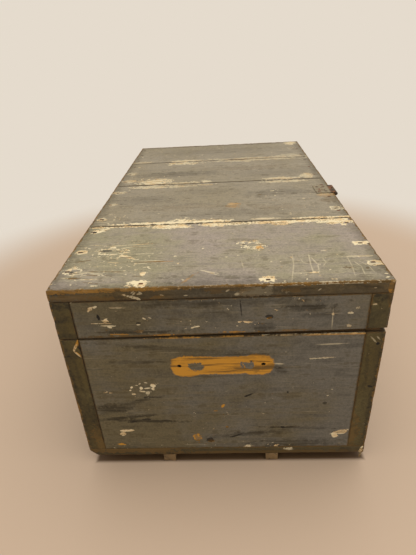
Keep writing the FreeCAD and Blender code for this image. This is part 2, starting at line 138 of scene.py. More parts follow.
@dataclass(frozen=True)
class Tone:
    """A colour as a screen shows it, each part from 0 to 255."""

    red: float
    green: float
    blue: float

    def linear(self) -> tuple[float, float, float, float]:
        """Returns the colour as a shader socket wants it."""
        return tuple(self._decoded(part / 255) for part in (self.red, self.green, self.blue)) + (1.0,)

    @staticmethod
    def _decoded(share: float) -> float:
        """Returns one part of the colour without its screen curve."""
        return share / 12.92 if share <= 0.04045 else ((share + 0.055) / 1.055) ** 2.4


@dataclass(frozen=True)
class Mark:
    """One mark in the paint, in millimetres on its side of the trunk.

    Its middle is counted from the middle of the trunk's width or length, and from the floor.
    On the top it is counted across the width, and along the length.
    """

    kind: Kind
    across: float
    up: float
    wide: float
    high: float
    turn: float = 0.0
    ragged: float = 0.6
    strength: float = 1.0
    square: float = 0.0
    hollow: float = 0.0


Marks = tuple[Mark, ...]


def marks(**rows: list[tuple[float, ...]]) -> Marks:
    """Sets out marks from rows of numbers.

    Args:
        **rows: For each kind of mark, rows that hold the fields of Mark after its kind, as many as
            are needed.

    Returns:
        The marks.
    """
    return tuple(Mark(Kind[kind.upper()], *row) for kind, found in rows.items() for row in found)


def pick(*pieces: Piece) -> None:
    """Selects these pieces alone, and makes the first of them active.

    Args:
        *pieces: The pieces, or none of them.
    """
    bpy.ops.object.select_all(action="DESELECT")
    for piece in pieces:
        piece.select_set(True)
    if pieces:
        bpy.context.view_layer.objects.active = pieces[0]


@contextmanager
def editing(piece: Piece) -> Iterator[None]:
    """Holds a piece alone in edit mode while a block runs.

    Args:
        piece: The piece.

    Yields:
        Nothing, once for the block.
    """
    pick(piece)
    bpy.ops.object.mode_set(mode="EDIT")
    yield
    bpy.ops.object.mode_set(mode="OBJECT")


def choose(piece: Piece, what: str, wanted: Callable[..., bool]) -> None:
    """Selects vertices or edges of a piece that is in edit mode.

    Args:
        piece: The piece.
        what: Either verts or edges.
        wanted: Says of a vertex or an edge whether it is to be selected.
    """
    bpy.context.tool_settings.mesh_select_mode = (what == "verts", what == "edges", False)
    bpy.ops.mesh.select_all(action="DESELECT")
    mesh = bmesh.from_edit_mesh(piece.data)
    for found in getattr(mesh, what):
        if wanted(found):
            found.select_set(True)
    bmesh.update_edit_mesh(piece.data)


def apply_modifier(piece: Piece, kind: str, **settings: object) -> None:
    """Adds a modifier to a piece and applies it.

    Args:
        piece: The piece.
        kind: The modifier's type.
        **settings: The modifier's settings by name.
    """
    pick(piece)
    modifier = piece.modifiers.new(kind.lower(), kind)
    for name, value in settings.items():
        setattr(modifier, name, value)
    bpy.ops.object.modifier_apply(modifier=modifier.name)


def settle(piece: Piece) -> None:
    """Puts a piece's place, turn and size into its mesh."""
    pick(piece)
    bpy.ops.object.transform_apply(location=True, rotation=True, scale=True)


def added(operator: Callable[..., set], **settings: object) -> Piece:
    """Adds a primitive, with everything else deselected, and puts its place into its mesh.

    Args:
        operator: The operator that adds it.
        **settings: What the operator is given.

    Returns:
        The primitive.
    """
    pick()
    operator(**settings)
    made = bpy.context.active_object
    settle(made)
    return made


def cut(piece: Piece, cutter: Piece) -> None:
    """Takes a cutter's shape out of a piece, and the cutter away."""
    apply_modifier(piece, "BOOLEAN", object=cutter, operation="DIFFERENCE", solver="EXACT")
    bpy.data.objects.remove(cutter)


def smooth(piece: Piece, crease: float) -> None:
    """Shades a piece smooth, up to the angle of a crease."""
    pick(piece)
    bpy.ops.object.shade_smooth_by_angle(angle=crease)


def copied(piece: Piece, name: str) -> Piece:
    """Copies a piece, with a mesh of its own.

    Args:
        piece: The piece.
        name: The copy's name.

    Returns:
        The copy.
    """
    made = bpy.data.objects.new(name, piece.data.copy())
    bpy.context.scene.collection.objects.link(made)
    return made


def corners(piece: Piece) -> tuple[Vector, Vector]:
    """Returns the lowest and the highest corner of a piece's mesh."""
    places = [vertex.co for vertex in piece.data.vertices]
    return Vector(map(min, *places)), Vector(map(max, *places))


def dress(piece: Piece, material: Material) -> None:
    """Gives a piece one material and no other."""
    piece.data.materials.clear()
    piece.data.materials.append(material)


@dataclass(frozen=True)
class Clouds:
    """Patches in a noise: how fine and rough it is, and at what height they begin and are full."""

    scale: float
    detail: float
    rough: float
    start: float
    end: float


class Graph:
    """A node tree in the making, with short calls for the nodes used here."""

    RELIEF = 0.8
    MIXED = (0, 6, 7)

    def __init__(self, tree: bpy.types.NodeTree) -> None:
        """Keeps the tree that the nodes go into."""
        self.tree = tree

    def put(self, socket: Socket, value: object) -> None:
        """Links a socket to another, or sets its own value.

        Args:
            socket: The socket.
            value: A socket, a tone or a plain value.
        """
        if isinstance(value, Socket):
            self.tree.links.new(value, socket)
        elif isinstance(value, Tone):
            socket.default_value = value.linear()
        else:
            socket.default_value = value

    def add(self, kind: str, **settings: object) -> bpy.types.Node:
        """Adds a node and sets it up.

        Args:
            kind: The node's type, without its ShaderNode prefix.
            **settings: Properties of the node by name.

        Returns:
            The node.
        """
        node = self.tree.nodes.new("ShaderNode" + kind)
        for name, value in settings.items():
            setattr(node, name, value)
        return node

    def math(self, operation: str, *values: Value) -> Socket:
        """Adds a math node.

        Args:
            operation: What it does.
            *values: What it does it to.

        Returns:
            The result.
        """
        node = self.add("Math", operation=operation)
        for socket, value in zip(node.inputs, values):
            self.put(socket, value)
        return node.outputs[0]

    def vector(self, operation: str, *values: object) -> Socket:
        """Adds a vector math node.

        Args:
            operation: What it does.
            *values: What it does it to.

        Returns:
            The result, a vector or a value.
        """
        node = self.add("VectorMath", operation=operation)
        for socket, value in zip(node.inputs, values):
            self.put(socket, value)
        return node.outputs["Value" if operation in ("LENGTH", "DOT_PRODUCT") else "Vector"]

    def times(self, *values: Value) -> Socket:
        """Returns the product of two values."""
        return self.math("MULTIPLY", *values)

    def scaled(self, value: Value, gain: Value, start: Value) -> Socket:
        """Returns a value times its gain, counted from a start."""
        return self.math("MULTIPLY_ADD", value, gain, start)

    def less(self, whole: Value, part: Value) -> Socket:
        """Returns what is left of a whole without a part."""
        return self.math("SUBTRACT", whole, part)

    def most(self, found: Value, *others: Value) -> Value:
        """Finds the largest of several values.

        Args:
            found: The first.
            *others: The others.

        Returns:
            The largest.
        """
        for value in others:
            found = self.math("MAXIMUM", found, value)
        return found

    def fade(self, value: Value, start: float, end: float) -> Socket:
        """Steps smoothly from 0 to 1.

        Args:
            value: What is looked at.
            start: Where the step is 0.
            end: Where it is 1, which may be the lower one.

        Returns:
            The step.
        """
        node = self.add("MapRange", interpolation_type="SMOOTHSTEP")
        low, high = (0.0, 1.0) if start <= end else (1.0, 0.0)
        start, end = sorted((start, end))
        self.fill(node, Value=value, From_Min=start, From_Max=end, To_Min=low, To_Max=high)
        return node.outputs["Result"]

    def mix(self, share: Value, first: object, second: object, blend: str = "MIX") -> Socket:
        """Blends two colours.

        Args:
            share: How much of the second there is.
            first: The first colour.
            second: The second colour.
            blend: How they are blended.

        Returns:
            The colour.
        """
        node = self.add("Mix", data_type="RGBA", blend_type=blend)
        for number, value in zip(self.MIXED, (share, first, second)):
            self.put(node.inputs[number], value)
        return node.outputs[2]

    def edge(self, inside: Socket, blur: Value) -> Socket:
        """Cuts a value off at zero.

        Args:
            inside: The value, above zero inside.
            blur: How wide the edge is.

        Returns:
            1 inside and 0 outside.
        """
        node = self.add("Math", operation="MULTIPLY_ADD", use_clamp=True)
        self.put(node.inputs[0], inside)
        self.put(node.inputs[1], self.math("DIVIDE", 1.0, blur) if isinstance(blur, Socket) else 1.0 / blur)
        self.put(node.inputs[2], 0.5)
        return node.outputs[0]

    def noise(self, place: Socket, scale: float, detail: float = 3.0, rough: float = 0.55) -> Socket:
        """Draws clouds.

        Args:
            place: The place.
            scale: How many clouds there are in a metre.
            detail: How many finer layers they have.
            rough: How strong those are.

        Returns:
            A cloudy value about 0.5.
        """
        node = self.add("TexNoise")
        self.fill(node, Vector=place, Scale=scale, Detail=detail, Roughness=rough)
        return node.outputs["Fac"]

    def patches(self, place: Socket, clouds: Clouds) -> Socket:
        """Returns a mask of the patches that clouds make."""
        cloudy = self.noise(place, clouds.scale, clouds.detail, clouds.rough)
        return self.fade(cloudy, clouds.start, clouds.end)

    def fill(self, node: bpy.types.Node, **values: object) -> None:
        """Sets or links a node's inputs by name, with a name's spaces written as underscores."""
        for name, value in values.items():
            self.put(node.inputs[name.replace("_", " ")], value)

    def parts(self, vector: Socket) -> tuple[Socket, Socket, Socket]:
        """Takes a vector apart.

        Args:
            vector: The vector.

        Returns:
            Its three parts.
        """
        node = self.add("SeparateXYZ")
        self.put(node.inputs[0], vector)
        return tuple(node.outputs)

    def joined(self, *values: Value) -> Socket:
        """Makes a vector.

        Args:
            *values: Up to three parts.

        Returns:
            The vector.
        """
        node = self.add("CombineXYZ")
        for socket, value in zip(node.inputs, values):
            self.put(socket, value)
        return node.outputs[0]

    def relief(self, shader: bpy.types.Node, height: Socket, depth: float) -> None:
        """Gives a shader the relief of a height.

        Args:
            shader: The shader.
            height: The height, from 0 to 1.
            depth: What a height of 1 stands for, in metres.
        """
        bump = self.add("Bump")
        bump.inputs["Strength"].default_value = self.RELIEF
        bump.inputs["Distance"].default_value = depth
        self.put(bump.inputs["Height"], height)
        self.put(shader.inputs["Normal"], bump.outputs[0])

    def use(self, group: bpy.types.NodeTree, **values: object) -> bpy.types.Node:
        """Adds a shared group, with a value for each input that is named.

        Args:
            group: The group.
            **values: The inputs' values, with a name's spaces written as underscores.

        Returns:
            The group's node.
        """
        node = self.add("Group", node_tree=group)
        self.fill(node, **values)
        return node


def graded(fibre: Axis, along: float, across: float = 1.0) -> Vector:
    """Returns a scale with one value along a board's fibres and another across them."""
    return Vector([along if axis is fibre else across for axis in Axis])


def new_finish(name: str) -> tuple[Material, Graph, bpy.types.Node, Socket]:
    """Starts a material.

    Args:
        name: Its name.

    Returns:
        The material, its graph, its shader and the place on the object.
    """
    made = bpy.data.materials.new(name)
    made.use_nodes = True
    graph = Graph(made.node_tree)
    return made, graph, made.node_tree.nodes["Principled BSDF"], graph.add("TexCoord").outputs["Object"]


class SharedGroups:
    """The effects that several finishes use, each built once as a node group."""

    TYPES = {"value": "NodeSocketFloat", "vector": "NodeSocketVector", "colour": "NodeSocketColor"}
    LEAN = 1e-9
    RING_HOLE = 0.7
    LINES = Clouds(1.0, 2.0, 0.4, 0.68, 0.78)
    LINES_IN_METRE = 420.0
    SCRATCHED = Clouds(14.0, 2.0, 0.55, 0.35, 0.62)
    SCRATCH_WAYS = ((0.1, 9.0, 0.0), (1.25, 14.0, 3.7), (-0.7, 12.0, 8.1))
    RUFFLE = {"Scale": 2.3, "Detail": 3.0}
    RUFFLED = (1.5, 1.5, 1.5)
    FLECK_SIZE = (0.3, 0.1)
    FLECK_BLUR = 0.06
    DEEP_FLECKS = 0.4
    SWELL = (9.0, 2.0, 0.5)
    RINGS = 15.0
    WOBBLE = (60.0, 3.0)
    WOBBLE_SHARE = 0.7
    FIBRES = (260.0, 4.0, 0.7)
    CRACKS = Clouds(120.0, 2.0, 0.6, 0.66, 0.74)
    STROKES = Clouds(150.0, 4.0, 0.66, 0.3, 0.7)
    BLOTCHES = Clouds(48.0, 6.0, 0.72, 0.32, 0.68)
    GRIT = Clouds(300.0, 3.0, 0.7, 0.33, 0.67)
    CLOUD = (7.0, 4.0, 0.6)
    LEAN_BACK = (-0.42, 0.0, 0.0)
    DRIFT_STROKES = 0.07
    DRIFT = (0.4, 0.72)
    DARKEST = 0.53
    LEVELS = (0.36, 0.26, 0.34)
    FILM = (0.6, 0.5)
    THIN = (0.62, 0.92)
    THINNED = 0.5
    SCORED = 0.62
    BROKEN = (1.1, 0.1)
    SMEARED = 0.8
    AGED = (0.5, 0.6)
    WORN_WOOD = (0.25, 0.75)
    DULL_WOOD = (0.34, 0.62)
    DULLED = (0.25, 0.75)
    STREAKS = (0.5, 0.85)
    STREAKED = 0.85
    INNER_WOOD = (0.3, 0.8)
    TANNED = 0.42
    TAN_CLOUDS = (0.45, 0.8)
    STUCK = (0.36, 0.8)
    CRACKED = 0.6
    RIM_DIRT_AND_SHADE_SHARE = 0.9
    CREAM_CHIPPED = 0.7
    GRAIN_HEIGHT = (0.34, 0.1)
    COAT_HEIGHT = 0.5
    GRIT_HEIGHT = 0.06
    SCORE_DEPTH = 0.3
    MATT = (-0.22, 0.74)
    MATT_BLOTCHES = 0.12
    SMEAR = Tone(36, 31, 20)
    # Tone of dark marks: holes, dents, knots and cracks, and painted shade.
    HOLE = Tone(24, 20, 14)
    CRACK = Tone(52, 38, 24)
    # Tone of bare wood just inside the outer faces: dirt, and painted shade for the deep gap between lid
    # and base.
    RIM_DIRT_AND_SHADE = Tone(32, 25, 15)

    def __init__(self) -> None:
        """Builds every group."""
        self.distances = self._distances()
        self.chip = self._chip()
        self.flecks = self._flecks()
        self.fibre = self._fibre()
        self.scratches = self._scratches()
        self.paint = self._paint()

    def _start(self, name: str, inputs: dict[str, str], outputs: dict[str, str]) -> tuple:
        """Starts a group.

        Args:
            name: The group's name.
            inputs: Each input's name, and its type as in TYPES.
            outputs: Each output's name and type.

        Returns:
            The graph, the inputs' node and the outputs' node.
        """
        tree = bpy.data.node_groups.new(name, "ShaderNodeTree")
        for label, kind in inputs.items():
            tree.interface.new_socket(label, in_out="INPUT", socket_type=self.TYPES[kind])
        for label, kind in outputs.items():
            tree.interface.new_socket(label, in_out="OUTPUT", socket_type=self.TYPES[kind])
        graph = Graph(tree)
        return graph, tree.nodes.new("NodeGroupInput").outputs, tree.nodes.new("NodeGroupOutput").inputs

    def _distances(self) -> bpy.types.NodeTree:
        """Tells how deep a place lies in a box, and how far from its arrises.

        Returns:
            The group.
        """
        graph, given, out = self._start(
            "Depth in a box",
            {"Position": "vector", "Low": "vector", "High": "vector"},
            {"Depth": "value", "Arris": "value"},
        )
        above = graph.vector("SUBTRACT", given["Position"], given["Low"])
        below = graph.vector("SUBTRACT", given["High"], given["Position"])
        x, y, z = graph.parts(graph.vector("MINIMUM", above, below))
        nearest = graph.math("MINIMUM", x, y)
        other = graph.most(x, y)
        graph.put(out["Depth"], graph.math("MINIMUM", nearest, z))
        graph.put(out["Arris"], graph.most(nearest, graph.math("MINIMUM", other, z)))
        return graph.tree

    def _chip(self) -> bpy.types.NodeTree:
        """Adds one ragged patch, round or square, full or hollow, to a mask.

        Its second output is the surface for the patch after it. That leans on this patch's mask by
        far less than a place can show, so that the patches are worked out one by one: left free,
        they are all begun together and the renderer runs out of room.

        Returns:
            The group.
        """
        inputs = dict.fromkeys(("Surface", "Middle", "Half", "Turn"), "vector")
        inputs |= dict.fromkeys(
            ("Rough", "Ragged", "Blur", "Square", "Hollow", "Strength", "Before"), "value"
        )
        outputs = {"Mask": "value", "Next surface": "vector"}
        graph, given, out = self._start("Ragged patch", inputs, outputs)
        placed = graph.add("Mapping", vector_type="TEXTURE")
        fitted = {"Location": given["Middle"], "Rotation": given["Turn"], "Scale": given["Half"]}
        graph.fill(placed, Vector=given["Surface"], **fitted)
        away = placed.outputs[0]
        across, up, level = graph.parts(graph.vector("ABSOLUTE", away))
        oblong = graph.most(across, up, level)
        round_off = graph.vector("LENGTH", away)
        spread = graph.scaled(graph.less(oblong, round_off), given["Square"], round_off)
        torn = graph.scaled(given["Rough"], given["Ragged"], spread)
        inside = graph.edge(graph.less(1.0, torn), given["Blur"])
        middle = graph.edge(graph.less(self.RING_HOLE, torn), given["Blur"])
        emptied = graph.times(middle, given["Hollow"])
        patch = graph.times(graph.less(inside, emptied), given["Strength"])
        mask = graph.most(patch, given["Before"])
        lean = graph.joined(graph.times(mask, self.LEAN))
        graph.put(out["Mask"], mask)
        graph.put(out["Next surface"], graph.vector("ADD", given["Surface"], lean))
        return graph.tree

    def _flecks(self) -> bpy.types.NodeTree:
        """Strews small angular flecks, pale ones and deep ones.

        Returns:
            The group.
        """
        graph, given, out = self._start(
            "Strewn flecks",
            {"Position": "vector", "Cells": "vector", "Share": "value"},
            {"Pale": "value", "Deep": "value"},
        )
        placed = graph.vector("MULTIPLY", given["Position"], given["Cells"])
        ruffle = graph.add("TexNoise")
        graph.fill(ruffle, Vector=placed, **self.RUFFLE)
        ruffled = graph.vector("MULTIPLY_ADD", ruffle.outputs["Color"], self.RUFFLED, placed)
        cells = graph.add("TexVoronoi")
        graph.fill(cells, Vector=ruffled, Scale=1.0)
        luck, bulk, kind = graph.parts(cells.outputs["Color"])
        size = graph.scaled(graph.times(bulk, bulk), *self.FLECK_SIZE)
        inside = graph.edge(graph.less(size, cells.outputs["Distance"]), self.FLECK_BLUR)
        fleck = graph.times(inside, graph.math("LESS_THAN", luck, given["Share"]))
        pale = graph.times(fleck, graph.math("GREATER_THAN", kind, self.DEEP_FLECKS))
        graph.put(out["Pale"], pale)
        graph.put(out["Deep"], graph.less(fleck, pale))
        return graph.tree

    def _fibre(self) -> bpy.types.NodeTree:
        """Draws softwood: its year rings, its fibres and its pores.

        Returns:
            The group.
        """
        graph, given, out = self._start(
            "Softwood fibre",
            {"Position": "vector", "Stretch": "vector", "Shift": "vector"},
            {"Rings": "value", "Fibres": "value", "Cracks": "value"},
        )
        shifted = graph.vector("ADD", given["Position"], given["Shift"])
        drawn = graph.vector("MULTIPLY", shifted, given["Stretch"])
        swell = graph.noise(drawn, *self.SWELL)
        turns = graph.times(swell, self.RINGS)
        wobble = graph.scaled(graph.noise(drawn, *self.WOBBLE), self.WOBBLE_SHARE, turns)
        graph.put(out["Rings"], graph.math("PINGPONG", wobble, 0.5))
        graph.put(out["Fibres"], graph.noise(drawn, *self.FIBRES))
        graph.put(out["Cracks"], graph.patches(drawn, self.CRACKS))
        return graph.tree

    def _scratches(self) -> bpy.types.NodeTree:
        """Draws fine scratches, which run three ways over a surface.

        Returns:
            The group.
        """
        graph, given, out = self._start(
            "Fine scratches", {"Surface": "vector", "Amount": "value"}, {"Mask": "value"}
        )
        found = []
        for turn, length, start in self.SCRATCH_WAYS:
            placed = graph.add("Mapping")
            turned = {"Rotation": (0.0, 0.0, turn), "Location": (start, start, 0.0)}
            graph.fill(placed, Vector=given["Surface"], Scale=(length, self.LINES_IN_METRE, 1.0), **turned)
            found.append(graph.patches(placed.outputs[0], self.LINES))
        lines = graph.times(graph.most(*found), graph.patches(given["Surface"], self.SCRATCHED))
        graph.put(out["Mask"], graph.times(lines, given["Amount"]))
        return graph.tree

    def _paint(self) -> bpy.types.NodeTree:
        """Lays old paint on wood, with the masks of what has come off.

        Returns:
            The group.
        """
        masks = ("Cream", "Ochre", "Brown", "Dark", "Stain", "Scratch", "Grime", "Covered", "Rim")
        colours = ("Paint", "Second", "Dirt", "Undercoat", "Clean wood", "Old wood", "Inner wood")
        inputs = {"Position": "vector", "Stretch": "vector", "Shift": "vector"}
        inputs.update({name: "value" for name in masks})
        inputs.update({name: "colour" for name in colours})
        graph, given, out = self._start(
            "Worn paint", inputs, {"Colour": "colour", "Roughness": "value", "Height": "value"}
        )
        wood = graph.use(
            self.fibre, Position=given["Position"], Stretch=given["Stretch"], Shift=given["Shift"]
        ).outputs
        place = graph.vector("ADD", given["Position"], given["Shift"])
        brushed = graph.vector("MULTIPLY", place, given["Stretch"])
        stroke = graph.patches(brushed, self.STROKES)
        cloud = graph.noise(place, *self.CLOUD)
        patch = graph.patches(place, self.BLOTCHES)
        grit = graph.patches(place, self.GRIT)

        lean = graph.vector("DOT_PRODUCT", given["Position"], self.LEAN_BACK)
        drift = graph.math("ADD", graph.scaled(stroke, self.DRIFT_STROKES, cloud), lean)
        tone = graph.mix(graph.fade(drift, *self.DRIFT), given["Paint"], given["Second"])
        level = self.DARKEST
        for pattern, share in zip((stroke, grit, patch), self.LEVELS):
            level = graph.scaled(pattern, share, level)
        colour = graph.mix(1.0, tone, graph.joined(level, level, level), "MULTIPLY")
        blotched, brushed = self.FILM
        film = graph.scaled(patch, blotched, graph.times(stroke, brushed))
        thin = graph.times(graph.fade(film, *self.THIN), self.THINNED)
        colour = graph.mix(thin, colour, given["Dirt"])
        colour = graph.mix(given["Grime"], colour, given["Dirt"])
        colour = graph.mix(graph.times(given["Scratch"], self.SCORED), colour, given["Undercoat"])
        broken = graph.times(given["Stain"], graph.scaled(stroke, *self.BROKEN))
        colour = graph.mix(graph.math("MINIMUM", broken, self.SMEARED), colour, self.SMEAR)

        fibrous, ringed = self.AGED
        aged = graph.scaled(wood["Fibres"], fibrous, graph.times(wood["Rings"], ringed))
        worn = graph.mix(graph.fade(aged, *self.WORN_WOOD), given["Old wood"], given["Dirt"])
        dull = graph.mix(graph.fade(aged, *self.DULL_WOOD), given["Clean wood"], given["Old wood"])
        clean = graph.mix(graph.fade(film, *self.DULLED), given["Clean wood"], dull)
        streaks = graph.times(graph.fade(stroke, *self.STREAKS), self.STREAKED)
        clean = graph.mix(streaks, clean, given["Old wood"])
        inner = graph.mix(graph.fade(aged, *self.INNER_WOOD), given["Inner wood"], given["Old wood"])
        tan = graph.mix(self.TANNED, given["Undercoat"], given["Clean wood"])
        undercoat = graph.mix(graph.fade(film, *self.TAN_CLOUDS), given["Undercoat"], tan)
        stuck = graph.fade(graph.times(grit, stroke), *self.STUCK)
        undercoat = graph.mix(stuck, undercoat, given["Old wood"])
        colour = graph.mix(given["Cream"], colour, undercoat)
        colour = graph.mix(given["Brown"], colour, worn)
        colour = graph.mix(given["Ochre"], colour, clean)
        colour = graph.mix(given["Dark"], colour, self.HOLE)
        inner = graph.mix(graph.times(wood["Cracks"], self.CRACKED), inner, self.CRACK)
        # Bare wood near the outer faces is darkened: partly dirt, partly painted shade in the gap under the
        # lid.
        inner = graph.mix(graph.times(given["Rim"], self.RIM_DIRT_AND_SHADE_SHARE), inner, self.RIM_DIRT_AND_SHADE)
        graph.put(out["Colour"], graph.mix(given["Covered"], inner, colour))

        bare = graph.most(given["Ochre"], given["Brown"])
        chipped = graph.most(bare, graph.times(given["Cream"], self.CREAM_CHIPPED))
        coat = graph.times(given["Covered"], graph.less(1.0, chipped))
        fibrous, brushed = self.GRAIN_HEIGHT
        grain = graph.scaled(wood["Fibres"], fibrous, graph.times(stroke, brushed))
        raised = graph.scaled(coat, self.COAT_HEIGHT, grain)
        raised = graph.scaled(grit, self.GRIT_HEIGHT, raised)
        sunk = graph.scaled(given["Scratch"], self.SCORE_DEPTH, given["Dark"])
        graph.put(out["Height"], graph.less(raised, sunk))
        matt = graph.scaled(coat, *self.MATT)
        graph.put(out["Roughness"], graph.scaled(patch, self.MATT_BLOTCHES, matt))
        return graph.tree


@dataclass(frozen=True)
class WoodTones:
    """The colours under and round the paint, the same on the whole trunk."""

    dirt: Tone = Tone(62, 52, 30)
    undercoat: Tone = Tone(219, 205, 170)
    clean_wood: Tone = Tone(194, 139, 48)
    old_wood: Tone = Tone(108, 82, 42)
    inner_wood: Tone = Tone(168, 132, 88)


@dataclass(frozen=True)
class PaintTones:
    """The paint of one part of the trunk: two tones that drift into each other, and its edges'."""

    first: Tone
    second: Tone
    edge: Tone
    edge_second: Tone


NEAR_TOP_PAINT = PaintTones(Tone(147, 136, 125), Tone(139, 132, 106), Tone(92, 84, 68), Tone(98, 80, 46))
TOP_PAINT = PaintTones(Tone(139, 130, 112), Tone(134, 124, 102), Tone(88, 79, 58), Tone(90, 74, 46))
END_PAINT = PaintTones(Tone(103, 99, 90), Tone(98, 89, 66), Tone(78, 68, 44), Tone(70, 60, 36))
SIDE_PAINT = PaintTones(Tone(104, 98, 84), Tone(98, 89, 66), Tone(86, 77, 47), Tone(79, 67, 34))


@dataclass(frozen=True)
class PaintedTimber:
    """The finish of one painted board: bare inside, painted where it is part of the outside."""

    name: str
    tones: PaintTones
    side: Side
    fibre: Axis
    low: Vector
    high: Vector
    body_low: Vector
    body_high: Vector
    middle: Vector
    marks: dict[Side, Marks] = field(default_factory=dict)
    wear: float = 1.0
    scratched: float = 0.3
    flecked: float = 0.012
    sealed: float = 0.65
    ochre_arris: float = 0.15
    chalky_arris: float = 0.1

    FILM = 1.3 * MM
    STRETCH = 0.055
    SPECULAR = 0.28
    FLECKS = (110.0, 42.0)
    SPECKS = (250.0, 170.0)
    DEEP_SHARE = 0.7
    ZONE_SHARE = 0.36
    ZONE_SCRATCHED = 1.4
    GLINTS = Clouds(62.0, 6.0, 0.8, 0.45, 0.62)
    CHALK = Clouds(90.0, 6.0, 0.8, 0.47, 0.6)
    SHELTERED = (0.0, 190 * MM)
    OFF_GROUND = (45 * MM, 60 * MM)
    CLOSED = (0.7, 0.3)
    GLINTS_AHEAD = (-0.6, 1.0)
    FACETS_IN_METRE = 300.0
    FACETS = (0.34, 0.34, 0.0)
    TEARS = (85.0, 5.0, 0.68)
    TORN = (3.0, -1.84)
    NICKS_SHARE = 0.7
    JOINT_SHARE = 0.8
    CRACK_SHARE = 0.85
    SMEAR_SHARE = 0.45
    COVERED = (1.9 * FILM, FILM)
    BARED = (3.2 * MM, 2.2 * MM)
    BARED_TORN = -5.2 * MM
    NICKED = (1.7 * MM, 0.9 * MM)
    NICKED_TORN = -2.4 * MM
    SMEARED = (24 * MM, 2 * MM)
    SMEARED_TORN = 9 * MM
    JOINT = (3.0 * MM, 0.8 * MM)
    CRACK = (1.2 * MM, 0.4 * MM)
    CRACK_TORN = -0.9 * MM
    CRACK_INLAND = (3 * MM, 9 * MM)
    RIM_DIRT_AND_SHADE = (11 * MM, 3 * MM)
    OTHER_FACE = (1.6 * MM, 3.2 * MM)
    MARKED_FACE = (3.4 * MM, 2.2 * MM)
    RELIEF = 0.5 * MM

    def material(self, shared: SharedGroups) -> Material:
        """Builds the board's material.

        Args:
            shared: The node groups.

        Returns:
            The material.
        """
        made, graph, shader, place = new_finish(self.name)
        torn = self._torn(graph, place)
        masks = self._masks(graph, shared, place, torn)
        body = graph.use(shared.distances, Position=place, Low=self.body_low, High=self.body_high).outputs
        own = graph.use(shared.distances, Position=place, Low=self.low, High=self.high).outputs
        zone = masks[Kind.WORN]
        flecks, specks = (
            self._strewn(graph, shared, place, cells, graph.scaled(zone, gain, self.flecked))
            for cells, gain in ((self.FLECKS, self.ZONE_SHARE), (self.SPECKS, 2 * self.ZONE_SHARE))
        )
        across, _, height = graph.parts(place)
        ahead = graph.fade(across, *self.SHELTERED)
        bared, lost = self._rubbed(graph, torn, body, own)
        yellow = graph.times(graph.patches(place, self.GLINTS), graph.scaled(ahead, *self.GLINTS_AHEAD))
        yellow = graph.times(bared, graph.times(yellow, self.ochre_arris))
        chalk = graph.times(graph.times(bared, graph.patches(place, self.CHALK)), self.chalky_arris)
        closed = graph.scaled(graph.fade(height, *self.OFF_GROUND), *self.CLOSED)
        joint = graph.times(graph.fade(own["Arris"], *self.JOINT), self.JOINT_SHARE)
        open_share = graph.scaled(ahead, -self.sealed, self.CRACK_SHARE)
        crack = graph.times(self._crack(graph, torn, body, own), open_share)
        smeared = graph.fade(graph.scaled(torn, self.SMEARED_TORN, body["Arris"]), *self.SMEARED)
        edge = graph.fade(self._depth(graph, place, self.side), *self.OTHER_FACE)
        scratched = graph.scaled(zone, self.ZONE_SCRATCHED, self.scratched)
        fine = graph.use(
            shared.scratches,
            Surface=self._surface(graph, place, self.side),
            Amount=graph.times(scratched, graph.less(1.0, edge)),
        ).outputs[0]
        deep = graph.times(graph.most(flecks["Deep"], specks["Deep"]), self.DEEP_SHARE)
        kept = graph.less(1.0, masks[Kind.PAINT])
        laid = graph.use(
            shared.paint,
            Position=place,
            Stretch=graded(self.fibre, self.STRETCH),
            Shift=self.low * GRAIN_SHIFT,
            Cream=graph.most(masks[Kind.CREAM], flecks["Pale"], specks["Pale"], chalk),
            Ochre=graph.times(graph.most(masks[Kind.OCHRE], yellow), kept),
            Brown=graph.times(graph.most(masks[Kind.BROWN], lost, deep), kept),
            Dark=graph.most(masks[Kind.DARK], graph.times(crack, closed)),
            Stain=masks[Kind.STAIN],
            Scratch=graph.most(masks[Kind.SCRATCH], fine),
            Grime=graph.most(graph.times(smeared, self.SMEAR_SHARE), graph.times(joint, closed)),
            Covered=graph.fade(body["Depth"], *self.COVERED),
            # Rim mask: darkens bare wood near the outer faces, fading out 11 mm in, as dirt and as painted
            # shade in the gap.
            Rim=graph.fade(body["Depth"], *self.RIM_DIRT_AND_SHADE),
            Paint=graph.mix(edge, self.tones.first, self.tones.edge),
            Second=graph.mix(edge, self.tones.second, self.tones.edge_second),
            Dirt=WoodTones.dirt,
            Undercoat=WoodTones.undercoat,
            Clean_wood=WoodTones.clean_wood,
            Old_wood=WoodTones.old_wood,
            Inner_wood=WoodTones.inner_wood,
        ).outputs
        graph.fill(shader, Base_Color=laid["Colour"], Roughness=laid["Roughness"])
        shader.inputs["Specular IOR Level"].default_value = self.SPECULAR
        graph.relief(shader, laid["Height"], self.RELIEF)
        return made

    def _rubbed(self, graph: Graph, torn: Socket, body: Outputs, own: Outputs) -> tuple[Socket, Socket]:
        """Rubs the paint off the arrises.

        Args:
            graph: The material's graph.
            torn: The noise that tears outlines.
            body: How deep a place lies in the whole body, and how far from its arrises.
            own: The same in the board alone.

        Returns:
            Masks of the wood bared on the body's arrises, and of all the paint that is gone.
        """
        start, end = self.BARED
        bared = graph.scaled(torn, self.BARED_TORN, body["Arris"])
        bared = graph.fade(bared, start * self.wear, end * self.wear)
        nicked = graph.fade(graph.scaled(torn, self.NICKED_TORN, own["Arris"]), *self.NICKED)
        return bared, graph.most(bared, graph.times(nicked, self.NICKS_SHARE))

    def _crack(self, graph: Graph, torn: Socket, body: Outputs, own: Outputs) -> Socket:
        """Darkens the line where the board meets another, away from the body's arrises.

        Args:
            graph: The material's graph.
            torn: The noise that tears outlines.
            body: How deep a place lies in the whole body, and how far from its arrises.
            own: The same in the board alone.

        Returns:
            The mask of the line.
        """
        tight = graph.fade(graph.scaled(torn, self.CRACK_TORN, own["Arris"]), *self.CRACK)
        return graph.times(tight, graph.fade(body["Arris"], *self.CRACK_INLAND))

